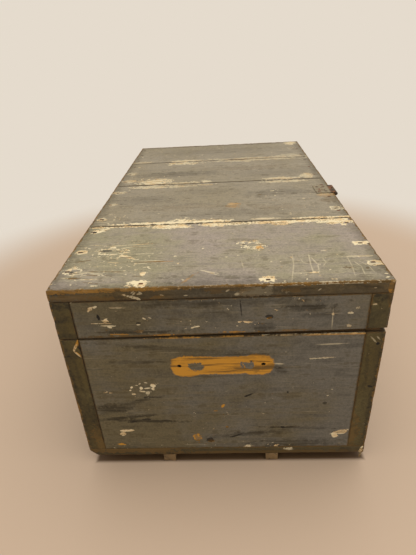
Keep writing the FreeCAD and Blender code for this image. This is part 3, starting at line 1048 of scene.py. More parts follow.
    def _torn(self, graph: Graph, place: Socket) -> Socket:
        """Draws the noise that tears outlines: clouds, broken into small facets.

        Args:
            graph: The material's graph.
            place: The place on the board.

        Returns:
            A value about 0.
        """
        cells = graph.add("TexVoronoi")
        graph.fill(cells, Vector=place, Scale=self.FACETS_IN_METRE)
        facets = graph.vector("DOT_PRODUCT", cells.outputs["Color"], self.FACETS)
        clouds = graph.scaled(graph.noise(place, *self.TEARS), *self.TORN)
        return graph.math("ADD", clouds, facets)

    def _strewn(
        self, graph: Graph, shared: SharedGroups, place: Socket, cells: Span, share: Value
    ) -> Outputs:
        """Strews flecks over the board, drawn out along its fibres.

        Args:
            graph: The material's graph.
            shared: The node groups.
            place: The place on the board.
            cells: How many cells there are in a metre, across and along the fibres.
            share: The share of the cells that hold a fleck.

        Returns:
            The sockets of the pale flecks' mask and the deep ones'.
        """
        across, along = cells
        counts = graded(self.fibre, along, across)
        return graph.use(shared.flecks, Position=place, Cells=counts, Share=share).outputs

    def _surface(self, graph: Graph, place: Socket, side: Side) -> Socket:
        """Returns the place on a side as a flat vector: across it, and up or along it."""
        return graph.joined(*side.flat(graph.parts(place)))

    def _depth(self, graph: Graph, place: Socket, side: Side) -> Socket:
        """Measures how deep a place lies under the trunk's outer face.

        Args:
            graph: The material's graph.
            place: The place on the board.
            side: The face's side.

        Returns:
            The depth.
        """
        axis, way = side.value
        face = (self.body_high if way > 0 else self.body_low)[axis.value]
        part = graph.parts(place)[axis.value]
        return graph.less(face, part) if way > 0 else graph.less(part, face)

    def _masks(
        self, graph: Graph, shared: SharedGroups, place: Socket, torn: Socket
    ) -> dict[Kind, Value]:
        """Draws the board's marks, each over the ones before it, so that few values wait at a time.

        Args:
            graph: The material's graph.
            shared: The node groups.
            place: The place on the board.
            torn: The noise that tears the marks' outlines.

        Returns:
            The mask of each kind of mark.
        """
        found: dict[Kind, Value] = {kind: 0.0 for kind in Kind}
        for side, listed in self.marks.items():
            surface = self._surface(graph, place, side)
            near = graph.fade(self._depth(graph, place, side), *self.MARKED_FACE)
            origin = Vector((*side.flat(self.middle), 0.0))
            for kind in Kind:
                drawn: Value = 0.0
                for mark in (mark for mark in listed if mark.kind is kind):
                    patch = graph.use(
                        shared.chip,
                        Surface=surface,
                        Middle=origin + Vector((mark.across, mark.up, 0.0)) * MM,
                        Half=(mark.wide * MM, mark.high * MM, 1.0),
                        Turn=(0.0, 0.0, mark.turn),
                        Rough=torn,
                        Ragged=mark.ragged,
                        Blur=BLUR.get(kind, CRISP),
                        Square=mark.square,
                        Hollow=mark.hollow,
                        Strength=mark.strength,
                        Before=drawn,
                    ).outputs
                    drawn, surface = patch["Mask"], patch["Next surface"]
                if isinstance(drawn, Socket):
                    found[kind] = graph.scaled(drawn, near, found[kind])
        return found


@dataclass(frozen=True)
class BareTimber:
    """The finish of a board that was never painted: brown, dry and dirty."""

    name: str
    fibre: Axis
    low: Vector
    light: Tone = Tone(128, 102, 66)
    dark: Tone = Tone(84, 66, 40)
    dirt: Tone = Tone(58, 45, 28)
    crack: Tone = Tone(40, 30, 20)

    DIRTY = Clouds(16.0, 4.0, 0.55, 0.42, 0.7)
    AGED = (0.25, 0.8)
    DIRTIED = 0.6
    CRACKED = 0.7
    MATT = (0.25, 0.66)
    RELIEF = 0.6 * MM

    def material(self, shared: SharedGroups) -> Material:
        """Builds the board's material.

        Args:
            shared: The node groups.

        Returns:
            The material.
        """
        made, graph, shader, place = new_finish(self.name)
        stretch, shift = graded(self.fibre, PaintedTimber.STRETCH), self.low * GRAIN_SHIFT
        wood = graph.use(shared.fibre, Position=place, Stretch=stretch, Shift=shift).outputs
        fibrous, ringed = SharedGroups.AGED
        aged = graph.scaled(wood["Fibres"], fibrous, graph.times(wood["Rings"], ringed))
        colour = graph.mix(graph.fade(aged, *self.AGED), self.light, self.dark)
        dirty = graph.patches(place, self.DIRTY)
        colour = graph.mix(graph.times(dirty, self.DIRTIED), colour, self.dirt)
        colour = graph.mix(graph.times(wood["Cracks"], self.CRACKED), colour, self.crack)
        graph.fill(shader, Base_Color=colour, Roughness=graph.scaled(wood["Fibres"], *self.MATT))
        graph.relief(shader, graph.less(wood["Fibres"], wood["Cracks"]), self.RELIEF)
        return made


@dataclass(frozen=True)
class RustedIron:
    """The finish of old iron: brown scale, orange blooms and rubbed grey metal."""

    name: str
    scale: Tone = Tone(64, 50, 38)
    bloom: Tone = Tone(122, 80, 48)
    metal: Tone = Tone(104, 98, 90)
    rubbed: float = 0.35
    film: Tone | None = None
    film_end: float = FAR_OFF
    film_lost: float = 0.5

    RUBBED = Clouds(45.0, 4.0, 0.6, 0.6, 0.72)
    CLOUD = (90.0, 5.0, 0.65)
    GRIT = (700.0, 3.0, 0.7)
    GRITTY = 0.4
    RUST = (0.62, 0.92)
    FILM = (130.0, 6.0, 0.78)
    FILM_EDGE = 0.08
    FILM_FADE = 2 * MM
    METALLIC = (0.8, 0.12)
    ROUGHNESS = (-0.35, 0.82)
    GRIT_HEIGHT = 0.5
    RELIEF = 0.4 * MM

    def material(self) -> Material:
        """Builds the iron's material.

        Returns:
            The material.
        """
        made, graph, shader, place = new_finish(self.name)
        cloud = graph.noise(place, *self.CLOUD)
        grit = graph.noise(place, *self.GRIT)
        rust = graph.fade(graph.scaled(grit, self.GRITTY, cloud), *self.RUST)
        colour = graph.mix(rust, self.scale, self.bloom)
        bright = graph.times(graph.patches(place, self.RUBBED), self.rubbed)
        colour = graph.mix(bright, colour, self.metal)
        if self.film:
            film = Clouds(*self.FILM, self.film_lost, self.film_lost + self.FILM_EDGE)
            kept = graph.patches(place, film)
            ends = (self.film_end + self.FILM_FADE, self.film_end - self.FILM_FADE)
            covered = graph.times(kept, graph.fade(graph.parts(place)[0], *ends))
            colour = graph.mix(covered, colour, self.film)
            bright = graph.times(bright, graph.less(1.0, covered))
        metallic, roughness = (graph.scaled(bright, *span) for span in (self.METALLIC, self.ROUGHNESS))
        graph.fill(shader, Base_Color=colour, Metallic=metallic, Roughness=roughness)
        graph.relief(shader, graph.scaled(grit, self.GRIT_HEIGHT, cloud), self.RELIEF)
        return made


def scattered(
    seed: int,
    count: int,
    kind: Kind,
    across: Span,
    up: Span,
    wide: Span,
    high: Span,
    turn: float = 0.3,
    strength: float = 1.0,
) -> Marks:
    """Strews small marks over an oblong, the same each time.

    Args:
        seed: Where the draw starts.
        count: How many marks there are.
        kind: What they show.
        across: The oblong's limits across, in millimetres.
        up: Its limits up, in millimetres.
        wide: The least and the most half width.
        high: The least and the most half height.
        turn: The most that a mark is turned.
        strength: How strong they are.

    Returns:
        The marks.
    """
    draw = random.Random(seed)
    return tuple(
        Mark(
            kind,
            draw.uniform(*across),
            draw.uniform(*up),
            draw.uniform(*wide),
            draw.uniform(*high),
            draw.uniform(-turn, turn),
            draw.uniform(*STREWN_RAGGED),
            strength,
        )
        for _ in range(count)
    )


def traced(path: list[Span], strength: float) -> Marks:
    """Draws a fine bent scratch.

    Args:
        path: The places that it passes, across and up, in millimetres.
        strength: How strong it is.

    Returns:
        A mark for each straight piece of it.
    """
    pieces = []
    for (across, up), (next_across, next_up) in zip(path, path[1:]):
        aside, along = next_across - across, next_up - up
        place = (across + aside / 2, up + along / 2)
        half = (SCRATCH_HALF_WIDTH, SCRATCH_REACH * math.hypot(aside, along))
        turn = -math.atan2(aside, along)
        pieces.append(Mark(Kind.SCRATCH, *place, *half, turn, SCRATCH_RAGGED, strength))
    return tuple(pieces)


def worn_zones(seed: int, count: int, across: Span, up: Span, wide: Span, high: Span) -> Marks:
    """Strews flecked places over an oblong: the arguments are those of scattered."""
    return scattered(seed, count, Kind.WORN, across, up, wide, high, ZONE_TURN, ZONE_STRENGTH)


@dataclass
class Boards:
    """The joiner's part of the work: how a board is sawn, worn and placed."""

    step: float = 5.5 * MM
    arris: float = 0.6 * MM
    wander: float = 0.25 * MM
    bite: float = 1.3 * MM
    nibble: float = 0.4 * MM
    wander_size: float = 70 * MM
    bite_size: float = 13 * MM
    nibble_size: float = 5 * MM
    bite_contrast: float = 3.0
    cloud_light: Span = (1.3, 0.3)
    sharp: float = 0.6
    crease: float = math.radians(38)
    arris_reach: float = 1.2
    drill_sides: int = 28

    def sawn(self, name: str, low: Vector, high: Vector, feet: Span | None = None) -> Piece:
        """Adds a board at its size and place, divided into even faces.

        Args:
            name: The board's name.
            low: Its lowest corner.
            high: Its highest corner.
            feet: The heights of its lower edge at its two ends, where it tapers.

        Returns:
            The board.
        """
        middle, span = (low + high) / 2, high - low
        board = added(bpy.ops.mesh.primitive_cube_add, size=1.0, location=middle, scale=span)
        board.name = board.data.name = name
        along = Axis.X.value if span.x > span.y else Axis.Y.value
        with editing(board):
            for end, foot in zip((-1, 1), feet or ()):
                half = end * middle[along]
                choose(board, "verts", lambda at: at.co.z < middle.z and end * at.co[along] > half)
                bpy.ops.transform.translate(value=(0.0, 0.0, foot - low.z))
            for axis in Axis:
                cuts = max(round(span[axis.value] / self.step), 2) - 1
                choose(board, "edges", lambda edge: self._runs(edge, axis))
                bpy.ops.mesh.subdivide(number_cuts=cuts)
        return board

    @staticmethod
    def _runs(edge: bmesh.types.BMEdge, axis: Axis) -> bool:
        """Tells whether an edge runs along an axis."""
        way = edge.verts[1].co - edge.verts[0].co
        return abs(way[axis.value]) > 0.95 * way.length

    def trimmed(self, board: Piece, place: Vector, way: Vector) -> None:
        """Cuts off what lies beyond a plane.

        Args:
            board: The board.
            place: A place on the plane.
            way: The way that the plane faces.
        """
        with editing(board):
            bpy.ops.mesh.select_all(action="SELECT")
            bpy.ops.mesh.bisect(plane_co=place, plane_no=way, use_fill=True, clear_outer=True)

    def worn(self, board: Piece, low: Vector, high: Vector) -> None:
        """Rounds a board's arrises, and wears the outer ones away unevenly, always inwards.

        Args:
            board: The board.
            low: The lowest corner of the body that it is part of.
            high: The body's highest corner.
        """
        with editing(board):
            choose(board, "edges", lambda edge: edge.calc_face_angle(0.0) > self.sharp)
            bpy.ops.mesh.bevel(offset=self.arris, segments=2, profile=0.5, affect="EDGES")
            choose(board, "verts", lambda at: self._faces_met(at.co, low, high) > 1)
            bpy.ops.object.vertex_group_assign_new()
        outer = board.vertex_groups[-1].name
        light, less_light = self.cloud_light
        for size, depth, where, contrast in (
            (self.wander_size, self.wander, "", 1.0),
            (self.bite_size, self.bite, outer, self.bite_contrast),
            (self.nibble_size, self.nibble, outer, 1.0),
        ):
            clouds = bpy.data.textures.new("Wear", "CLOUDS")
            clouds.noise_scale = size
            clouds.noise_depth = 2
            clouds.contrast = contrast
            clouds.intensity = light - less_light * contrast
            clouds.use_clamp = True
            apply_modifier(
                board, "DISPLACE", texture=clouds, vertex_group=where, strength=-depth, mid_level=0.0
            )
        smooth(board, self.crease)

    def _faces_met(self, at: Vector, low: Vector, high: Vector) -> int:
        """Returns how many faces of a box a place lies on, within the width of an arris."""
        reach = self.arris_reach * self.arris
        return sum(min(at[way] - low[way], high[way] - at[way]) < reach for way in range(len(Axis)))

    def bored(self, board: Piece, centres: list[Vector], axis: Vector, radius: float, depth: float) -> None:
        """Bores round holes through a board.

        Args:
            board: The board.
            centres: The middles of the holes.
            axis: The way that they run.
            radius: Their radius.
            depth: How long the drill is.
        """
        for centre in centres:
            drill = added(
                bpy.ops.mesh.primitive_cylinder_add,
                vertices=self.drill_sides,
                radius=radius,
                depth=depth,
                location=centre,
                rotation=axis.to_track_quat("Z", "Y").to_euler(),
            )
            cut(board, drill)
        smooth(board, self.crease)


class Trunk:
    """What all the sub-assemblies share: the frame, the node groups and the trunk's own sizes."""

    END_REACH = 3 * MM

    def __init__(self, frame: dict) -> None:
        """Reads the sizes off the frame and builds the shared node groups.

        Args:
            frame: What the frame's loader gives.
        """
        self.frame = frame
        self.shared = SharedGroups()
        self.boards = Boards()
        self.base_low = Vector(map(min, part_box("base_back_board")[0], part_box("base_near_board")[0]))
        self.base_high = Vector(map(max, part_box("base_front_board")[1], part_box("base_far_board")[1]))
        self.lid_low = Vector(map(min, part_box("lid_back_board")[0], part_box("lid_near_board")[0]))
        self.lid_high = Vector(map(max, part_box("lid_plank_1")[1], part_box("lid_plank_4")[1]))
        middle = (self.base_low + self.base_high) / 2
        self.middle = Vector((middle.x, middle.y, 0.0))

    def finished(self, piece: Piece, body: str, slot: str, *nodes: str) -> None:
        """Hands a piece to the frame.

        Args:
            piece: The piece.
            body: The body that it rides on.
            slot: The slot of its finish, which is not used.
            *nodes: The nodes that it stands for.
        """
        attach(piece, body)
        if nodes:
            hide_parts(*nodes)
        log.info("%s rides on %s: %d faces", piece.name, body, len(piece.data.polygons))

    def box_of(self, body: str) -> tuple[Vector, Vector]:
        """Tells where a body is painted: it is open below, and the base above as well.

        Args:
            body: The body, lid or base.

        Returns:
            The lowest and the highest corner of what is painted.
        """
        if body == "lid":
            return Vector((self.lid_low.x, self.lid_low.y, -FAR_OFF)), self.lid_high
        below = Vector((self.base_low.x, self.base_low.y, -FAR_OFF))
        return below, Vector((self.base_high.x, self.base_high.y, FAR_OFF))

    def foot(self, node: str, axis: Axis) -> Span:
        """Measures a node's lower edge at the two ends of an axis.

        Args:
            node: The node.
            axis: The axis.

        Returns:
            The two heights.
        """
        low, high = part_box(node)
        places = [vertex.co for vertex in self.frame["nodes"][node].data.vertices]
        return (
            min(at.z for at in places if at[axis.value] < low[axis.value] + self.END_REACH),
            min(at.z for at in places if at[axis.value] > high[axis.value] - self.END_REACH),
        )

    def painted(
        self,
        node: str,
        body: str,
        tones: PaintTones,
        side: Side,
        fibre: Axis,
        by_side: dict[Side, Marks],
        **extra: float,
    ) -> Piece:
        """Makes one painted board in the place of its node.

        Args:
            node: The node that it stands for.
            body: The body that it rides on, lid or base.
            tones: Its paint.
            side: The side of the trunk that its face belongs to.
            fibre: The axis along its fibres.
            by_side: Its marks by side.
            **extra: Other fields of its finish.

        Returns:
            The board.
        """
        low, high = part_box(node)
        feet = self.foot(node, fibre) if side is not Side.TOP else None
        board = self.boards.sawn(node + "_worn", low, high, feet)
        painted_box = self.box_of(body)
        self.boards.worn(board, *painted_box)
        finish = PaintedTimber(
            node + "_paint", tones, side, fibre, low, high, *painted_box, self.middle, by_side, **extra
        )
        dress(board, finish.material(self.shared))
        self.finished(board, body, "grey_painted_wood", node)
        return board


@dataclass
class LidTop:
    """The four planks of the lid, flaked cream along their joints."""

    PLANKS = ("lid_plank_1", "lid_plank_2", "lid_plank_3", "lid_plank_4")
    WEAR = {"scratched": 0.4, "flecked": 0.012, "sealed": 0.0, "ochre_arris": 0.34, "chalky_arris": 0.25}
    NEAR_WEAR = WEAR | {"scratched": 0.7, "flecked": 0.02, "chalky_arris": 0.5}
    NEAR_PLANK = marks(
        cream=[
            (-106, -397, 14, 9, 0, 1.2), (67, -396, 11, 9, 0.1, 0.9), (-105, -371, 4, 4.5, 0.5, 0.8),
            (-213, -295, 10, 8, 0, 0.7, 1, 0, 0.3), (-208, -358, 12, 10, 0.2, 1.1, 1, 0, 1),
            (215, -296, 11.5, 6.5, 0, 0.6, 1, 0.5), (218, -360, 12, 8, 0, 0.9, 1, 0, 0.4),
            (-207, -213, 15, 7, 0.45, 0.8), (-167, -296, 24, 13, 0, 0.9, 1, 0, 1),
            (-138, -316, 18, 3, -0.5, 0.9, 0.8), (52, -289, 20, 13, -0.35, 1, 1, 0, 1),
            (-150, -197.5, 76, 4, 0, 1), (-85, -203, 32, 10, 0, 1.1), (6, -202, 34, 8, 0, 0.9, 1, 0.5),
            (138, -200, 96, 7, 0, 0.7, 1, 0.6), (206, -208, 24, 12, 0, 1.3), (178, -209, 10, 5, 0, 1.3),
            (108, -211, 14, 4, 0, 0.9), (-138, -274, 34, 1.2, 0.07, 1, 0.7),
            (-179, -382, 12, 1, 0, 0.9, 0.7), (-168, -400, 6, 2, 0, 1, 0.7),
            (-12, -371, 12, 1.2, -0.4, 0.9, 0.6), (-8, -376, 8, 1, -0.5, 0.9, 0.5),
            (198, -339, 18, 2, 0, 1.7, 0.4), (150, -408.5, 80, 1.6, 0, 1.1, 0.5, 0.8),
            (-10, -408.8, 70, 1.2, 0, 1.3, 0.35, 0.8),
        ],
        ochre=[
            (62, -297, 7, 5, 0, 1, 0.7), (-93, -335, 27, 1.4, 0, 0.5, 0.9),
            (-40, -389, 1.8, 16, -0.62, 1.2, 0.3),
        ],
        brown=[(-203, -378, 11, 1.6, 0, 0.9, 0.9), (-150, -362, 16, 1.5, -0.1, 0.9, 0.6)],
        dark=[
            (-214, -295, 3.2, 2.4, 0, 0.4), (-209, -360, 3, 2.4, 0, 0.8, 0.8),
            (214, -296, 2.4, 1.8, 0, 0.5, 0.8), (214, -358, 4, 1.8, 0, 0.8, 0.7),
            (-212, -218, 4, 3, 0.45, 0.5), (-176, -293, 10, 2.2, 0, 0.8, 0.8),
            (40, -286, 2.8, 2.2, 0, 0.4, 0.8),
        ],
        stain=[(-15, -389, 75, 14, 0, 1, 0.35), (206, -374, 24, 16, 0, 1, 0.35)],
        worn=[
            (-158, -338, 76, 52, 0.35, 0.6, 0.85), (-168, -284, 60, 26, 0, 0.6, 0.6),
            (150, -366, 80, 34, 0, 0.6, 0.3),
        ],
    )
    NEAR_PLANK_EDGE = marks(
        cream=[(-120, 336, 13, 2.2, -0.35, 1.1, 0.6), (52, 338, 26, 6, 0, 1.5, 0.14)],
        ochre=[
            (-185, 344.5, 46, 2.2, 0, 1.4, 0.4, 0.6), (-92, 345, 40, 2, 0, 1.4, 0.35, 0.6),
            (40, 346, 44, 1.2, 0, 1.6, 0.25, 0.6), (225, 339, 3.5, 9, 0, 1, 0.5),
        ],
        brown=[(-196, 336, 34, 5, 0, 1, 0.5)],
        stain=[
            (0, 330, 240, 3.5, 0, 0.8, 0.7, 1), (-60, 339, 66, 6, 0, 0.9, 0.75),
            (70, 338, 80, 5, 0, 0.9, 0.55), (-212, 342, 14, 4, 0, 0.8, 0.9), (-222, 346, 7, 2, 0, 0.8, 0.8),
            (-150, 346, 20, 1.6, 0, 1.1, 0.7),
        ],
        scratch=[(25, 334, 3, 2, 0, 0.5)],
    )
    SCRATCHES = (
        (0.5, (108.5, -332), (106.8, -357), (98, -401)),
        (0.6, (132, -334), (130, -359), (129.4, -381)),
        (0.6, (135.5, -342), (139.5, -360), (137.8, -380)),
        (0.5, (185, -342), (184.8, -367), (182.3, -390)),
        (0.7, (192, -357), (196.7, -370), (195.4, -389)),
        (0.6, (200, -357), (207.2, -369), (208.8, -383)),
        (0.45, (118.8, -341), (121, -353), (127, -355.5)),
        (0.45, (150, -341), (152.2, -354), (147.6, -362.5)),
        (0.4, (34, -340), (36, -363)),
    )
    HASP_PLANK = marks(
        cream=[
            (-84, -187, 80, 5, 0, 1.2), (-62, -181, 18, 11, 0, 1.2), (-22, -184, 16, 8, 0, 1.2, 0.9),
            (4, -186, 22, 6, 0, 1.2), (184, -187.5, 48, 4.5, 0, 0.8), (82, -184, 22, 3.5, 0, 1, 0.7),
            (-214, -160, 9, 7, 0, 1, 0.7), (-212, -82, 9, 8, 0, 1.1, 0.5), (-214, -8, 11, 9, 0, 1.1, 0.6),
            (214, -147, 12, 10, 0, 1, 0.85, 0, 0.7), (212, -66, 12, 7, 0, 1.5, 0.22),
            (24, -106, 7, 6, 0, 1.3, 0.35), (-146, 24, 38, 10, 0, 1.5, 0.6), (-84, 22, 32, 8, 0, 1.6, 0.45),
            (-30, 26, 14, 6, 0, 1.3, 0.45), (145, 28, 40, 7, 0, 1.5, 0.5),
        ],
        ochre=[(214, -70, 15, 10, 0, 1.5, 0.26), (27, -110, 13, 11, 0, 1.1, 0.4)],
        brown=[
            (214, -100, 14, 16, 0, 1.4, 0.3), (-60, -110, 80, 14, 0, 1.5, 0.16),
            (110, -130, 60, 12, 0, 1.5, 0.16),
        ],
        dark=[(214, -147, 3, 2.4, 0, 0.5, 0.7), (-213, -160, 2.5, 2.5, 0, 0.4)],
        stain=[
            (120, -44, 70, 20, 0, 1, 0.4), (-150, -60, 60, 22, 0, 1, 0.38), (30, -150, 90, 16, 0, 1, 0.3),
            (-20, -20, 60, 14, 0, 1, 0.3),
        ],
        worn=[(-190, -170, 40, 24, 0, 0.6, 0.6), (150, -100, 70, 60, 0, 0.6, 0.15)],
    )
    THIRD_PLANK = marks(
        cream=[
            (-146, 62, 36, 20, 0, 1.3, 0.75), (-84, 46, 32, 8, 0, 1.6, 0.5), (-30, 52, 12, 8, 0, 1.4, 0.6),
            (145, 50, 40, 8, 0, 1.4, 0.6), (197, 62, 14, 16, 0, 1.2, 0.6), (-206, 72, 14, 10, 0, 1.2, 0.5),
            (-208, 135, 12, 10, 0, 1.2, 0.5), (-92, 212, 38, 12, 0, 1.4, 0.7),
            (100, 221, 120, 7, 0, 1.6, 0.4), (60, 214, 28, 10, 0, 1.5, 0.35),
        ],
        brown=[(60, 150, 90, 16, 0, 1.6, 0.2)],
        stain=[
            (-100, 118, 90, 20, 0, 1.1, 0.55), (-20, 122, 24, 14, 0, 0.9, 0.5),
            (130, 100, 90, 30, 0, 1, 0.25),
        ],
        worn=[(-150, 90, 90, 60, 0, 0.6, 0.15)],
    )
    FAR_PLANK = marks(
        cream=[
            (-92, 238, 38, 9, 0, 1.5, 0.6), (100, 238, 120, 9, 0, 1.6, 0.4),
            (190, 250, 28, 14, 0, 1.4, 0.3), (-200, 236, 22, 9, 0, 1.4, 0.35),
            (207, 391, 17, 19, 0, 0.9, 0.8),
        ],
        brown=[(0, 404, 210, 5, 0, 1.4, 0.4, 1)],
        stain=[(0, 330, 150, 30, 0, 1.2, 0.3)],
        worn=[(0, 330, 200, 70, 0, 0.6, 0.12)],
    )
    trunk: Trunk

    def build(self) -> None:
        """Makes and dresses the planks."""
        others = ({Side.TOP: drawn} for drawn in (self.HASP_PLANK, self.THIRD_PLANK, self.FAR_PLANK))
        paint, wear = NEAR_TOP_PAINT, self.NEAR_WEAR
        for node, by_side in zip(self.PLANKS, (self.first(), *others)):
            self.trunk.painted(node, "lid", paint, Side.TOP, Axis.X, by_side, **wear)
            paint, wear = TOP_PAINT, self.WEAR

    def first(self) -> dict[Side, Marks]:
        """Sets out the marks of the near plank, the most knocked about.

        Returns:
            The marks by side.
        """
        streaks = scattered(31, 14, Kind.CREAM, (-212, -105), (-392, -262), (5, 16), (0.6, 1.3), 0.25, 0.6)
        streaks += scattered(32, 8, Kind.BROWN, (-212, -110), (-392, -262), (5, 14), (0.6, 1.6), 0.25, 0.7)
        lines = sum((traced(path, strength) for strength, *path in self.SCRATCHES), ())
        edge = self.NEAR_PLANK_EDGE
        edge += scattered(33, 12, Kind.STAIN, (-228, 228), (332, 347), (6, 24), (2, 5), 0.2, 0.55)
        edge += scattered(34, 16, Kind.CREAM, (-228, 228), (331, 347), (0.8, 3.2), (0.5, 1.4), 0.8, 0.4)
        edge += scattered(35, 8, Kind.BROWN, (-228, 228), (331, 347), (6, 20), (1.5, 4), 0.2, 0.5)
        return {Side.TOP: self.NEAR_PLANK + streaks + lines, Side.NEAR: edge}


@dataclass
class LidFrame:
    """The four boards under the lid's planks."""

    NEAR_BOARD = marks(
        cream=[
            (-176, 317, 4.6, 2.4, 0.7, 1, 0.8), (-168, 320, 3, 2, 0.3, 0.9, 0.8),
            (-139, 318, 11, 1.4, 0, 1, 0.35), (-163, 292.5, 14, 0.7, -0.03, 0.4, 0.8),
            (-155, 288.3, 11, 1, -0.06, 0.6, 0.8), (-153, 286, 3.5, 1.2, -0.3, 0.6, 0.9),
            (-103, 299, 3, 1.4, -0.6, 0.8, 0.8), (-95, 300, 3, 1, -0.5, 0.8, 0.6),
            (-112, 289, 2.6, 1, 0, 0.6, 0.8), (154, 298, 1.8, 2.6, 0, 1, 0.75),
            (177, 299.5, 3.6, 1.4, 0, 0.9, 0.75), (186, 307, 3, 2.4, 0, 1.2, 0.5),
            (178, 278, 3.4, 2, 0, 1, 0.5),
        ],
        ochre=[
            (68.5, 294.5, 3.5, 1.4, 0.2), (-138, 273, 16, 1, -0.03, 1.2, 0.55),
            (-80, 270.5, 14, 1.4, 0, 1.3, 0.6), (24, 272.5, 18, 1.5, 0, 1.2, 0.8),
            (104, 273, 22, 1.2, 0, 1.2, 0.6),
        ],
        brown=[(0, 269.5, 190, 1.8, 0, 0.9, 0.8, 1)],
        dark=[
            (-166, 303, 2.2, 6, 0.1, 0.5), (30, 314, 1, 13, 0.08, 0.5, 0.8), (69, 297, 5, 3.4, 0, 0.6, 0.8),
            (-112, 292, 4, 1.6, 0, 0.6, 0.7),
        ],
        stain=[
            (118, 311, 30, 5, 0, 1, 0.8), (140, 297, 26, 4, 0, 1, 0.7), (-10, 322, 120, 6, 0, 1, 0.6),
            (-150, 300, 70, 34, 0, 0.8, 0.2), (-90, 305, 60, 8, 0, 1, 0.4), (-10, 303, 22, 6, 0, 1, 0.6),
            (60, 281, 14, 6, 0, 0.9, 0.9), (-120, 277, 60, 4.5, 0, 1, 0.8),
        ],
        scratch=[(154, 289, 0.8, 15, 0.03, 0.3, 0.6), (154, 299, 11, 0.8, 0.02, 0.5, 0.45)],
        worn=[
            (-165, 318, 34, 10, 0, 0.6, 0.5), (-40, 280, 150, 12, 0, 0.6, 0.3),
            (60, 320, 130, 14, 0, 0.6, 0.25),
        ],
    )
    SIDE_BOARD_ENDS = marks(
        cream=[(207, 312, 4, 1.8, 0, 0.9, 0.6)],
        brown=[(226, 318, 4, 10, 0, 1, 0.4)],
        stain=[
            (212, 324, 22, 8, 0, 0.8, 0.9), (208, 290, 10, 22, 0, 1, 0.6), (-216, 323, 22, 6, 0, 0.8, 0.95),
            (-220, 299, 15, 4, 0.2, 0.9, 0.95), (-206, 303, 4, 9, 0.9, 0.9, 0.6),
            (-214, 272, 16, 4, 0, 0.9, 0.8),
        ],
    )
    trunk: Trunk

    def build(self) -> None:
        """Makes and dresses the boards."""
        make = self.trunk.painted
        near = {Side.NEAR: self.NEAR_BOARD}
        make("lid_near_board", "lid", END_PAINT, Side.NEAR, Axis.X, near, wear=0.4, flecked=0.007)
        far = worn_zones(51, 3, (-190, 190), (280, 320), (30, 70), (12, 24))
        far += scattered(52, 8, Kind.CREAM, (-190, 190), (275, 325), (2, 11), (1, 3))
        make("lid_far_board", "lid", END_PAINT, Side.FAR, Axis.X, {Side.FAR: far}, wear=0.4)
        for node, side, seed in (("lid_front_board", Side.FRONT, 61), ("lid_back_board", Side.BACK, 62)):
            zones = worn_zones(seed, 5, (-390, 390), (275, 325), (30, 90), (10, 26))
            chips = scattered(seed + 1, 10, Kind.CREAM, (-400, 400), (272, 328), (2, 14), (1, 4))
            smears = scattered(
                seed + 2, 8, Kind.STAIN, (-390, 390), (275, 325), (20, 90), (3, 10), 0.1, 0.7
            )
            by_side = {side: zones + chips + smears, Side.NEAR: self.SIDE_BOARD_ENDS}
            make(node, "lid", SIDE_PAINT, side, Axis.Y, by_side, wear=0.7, flecked=0.015)


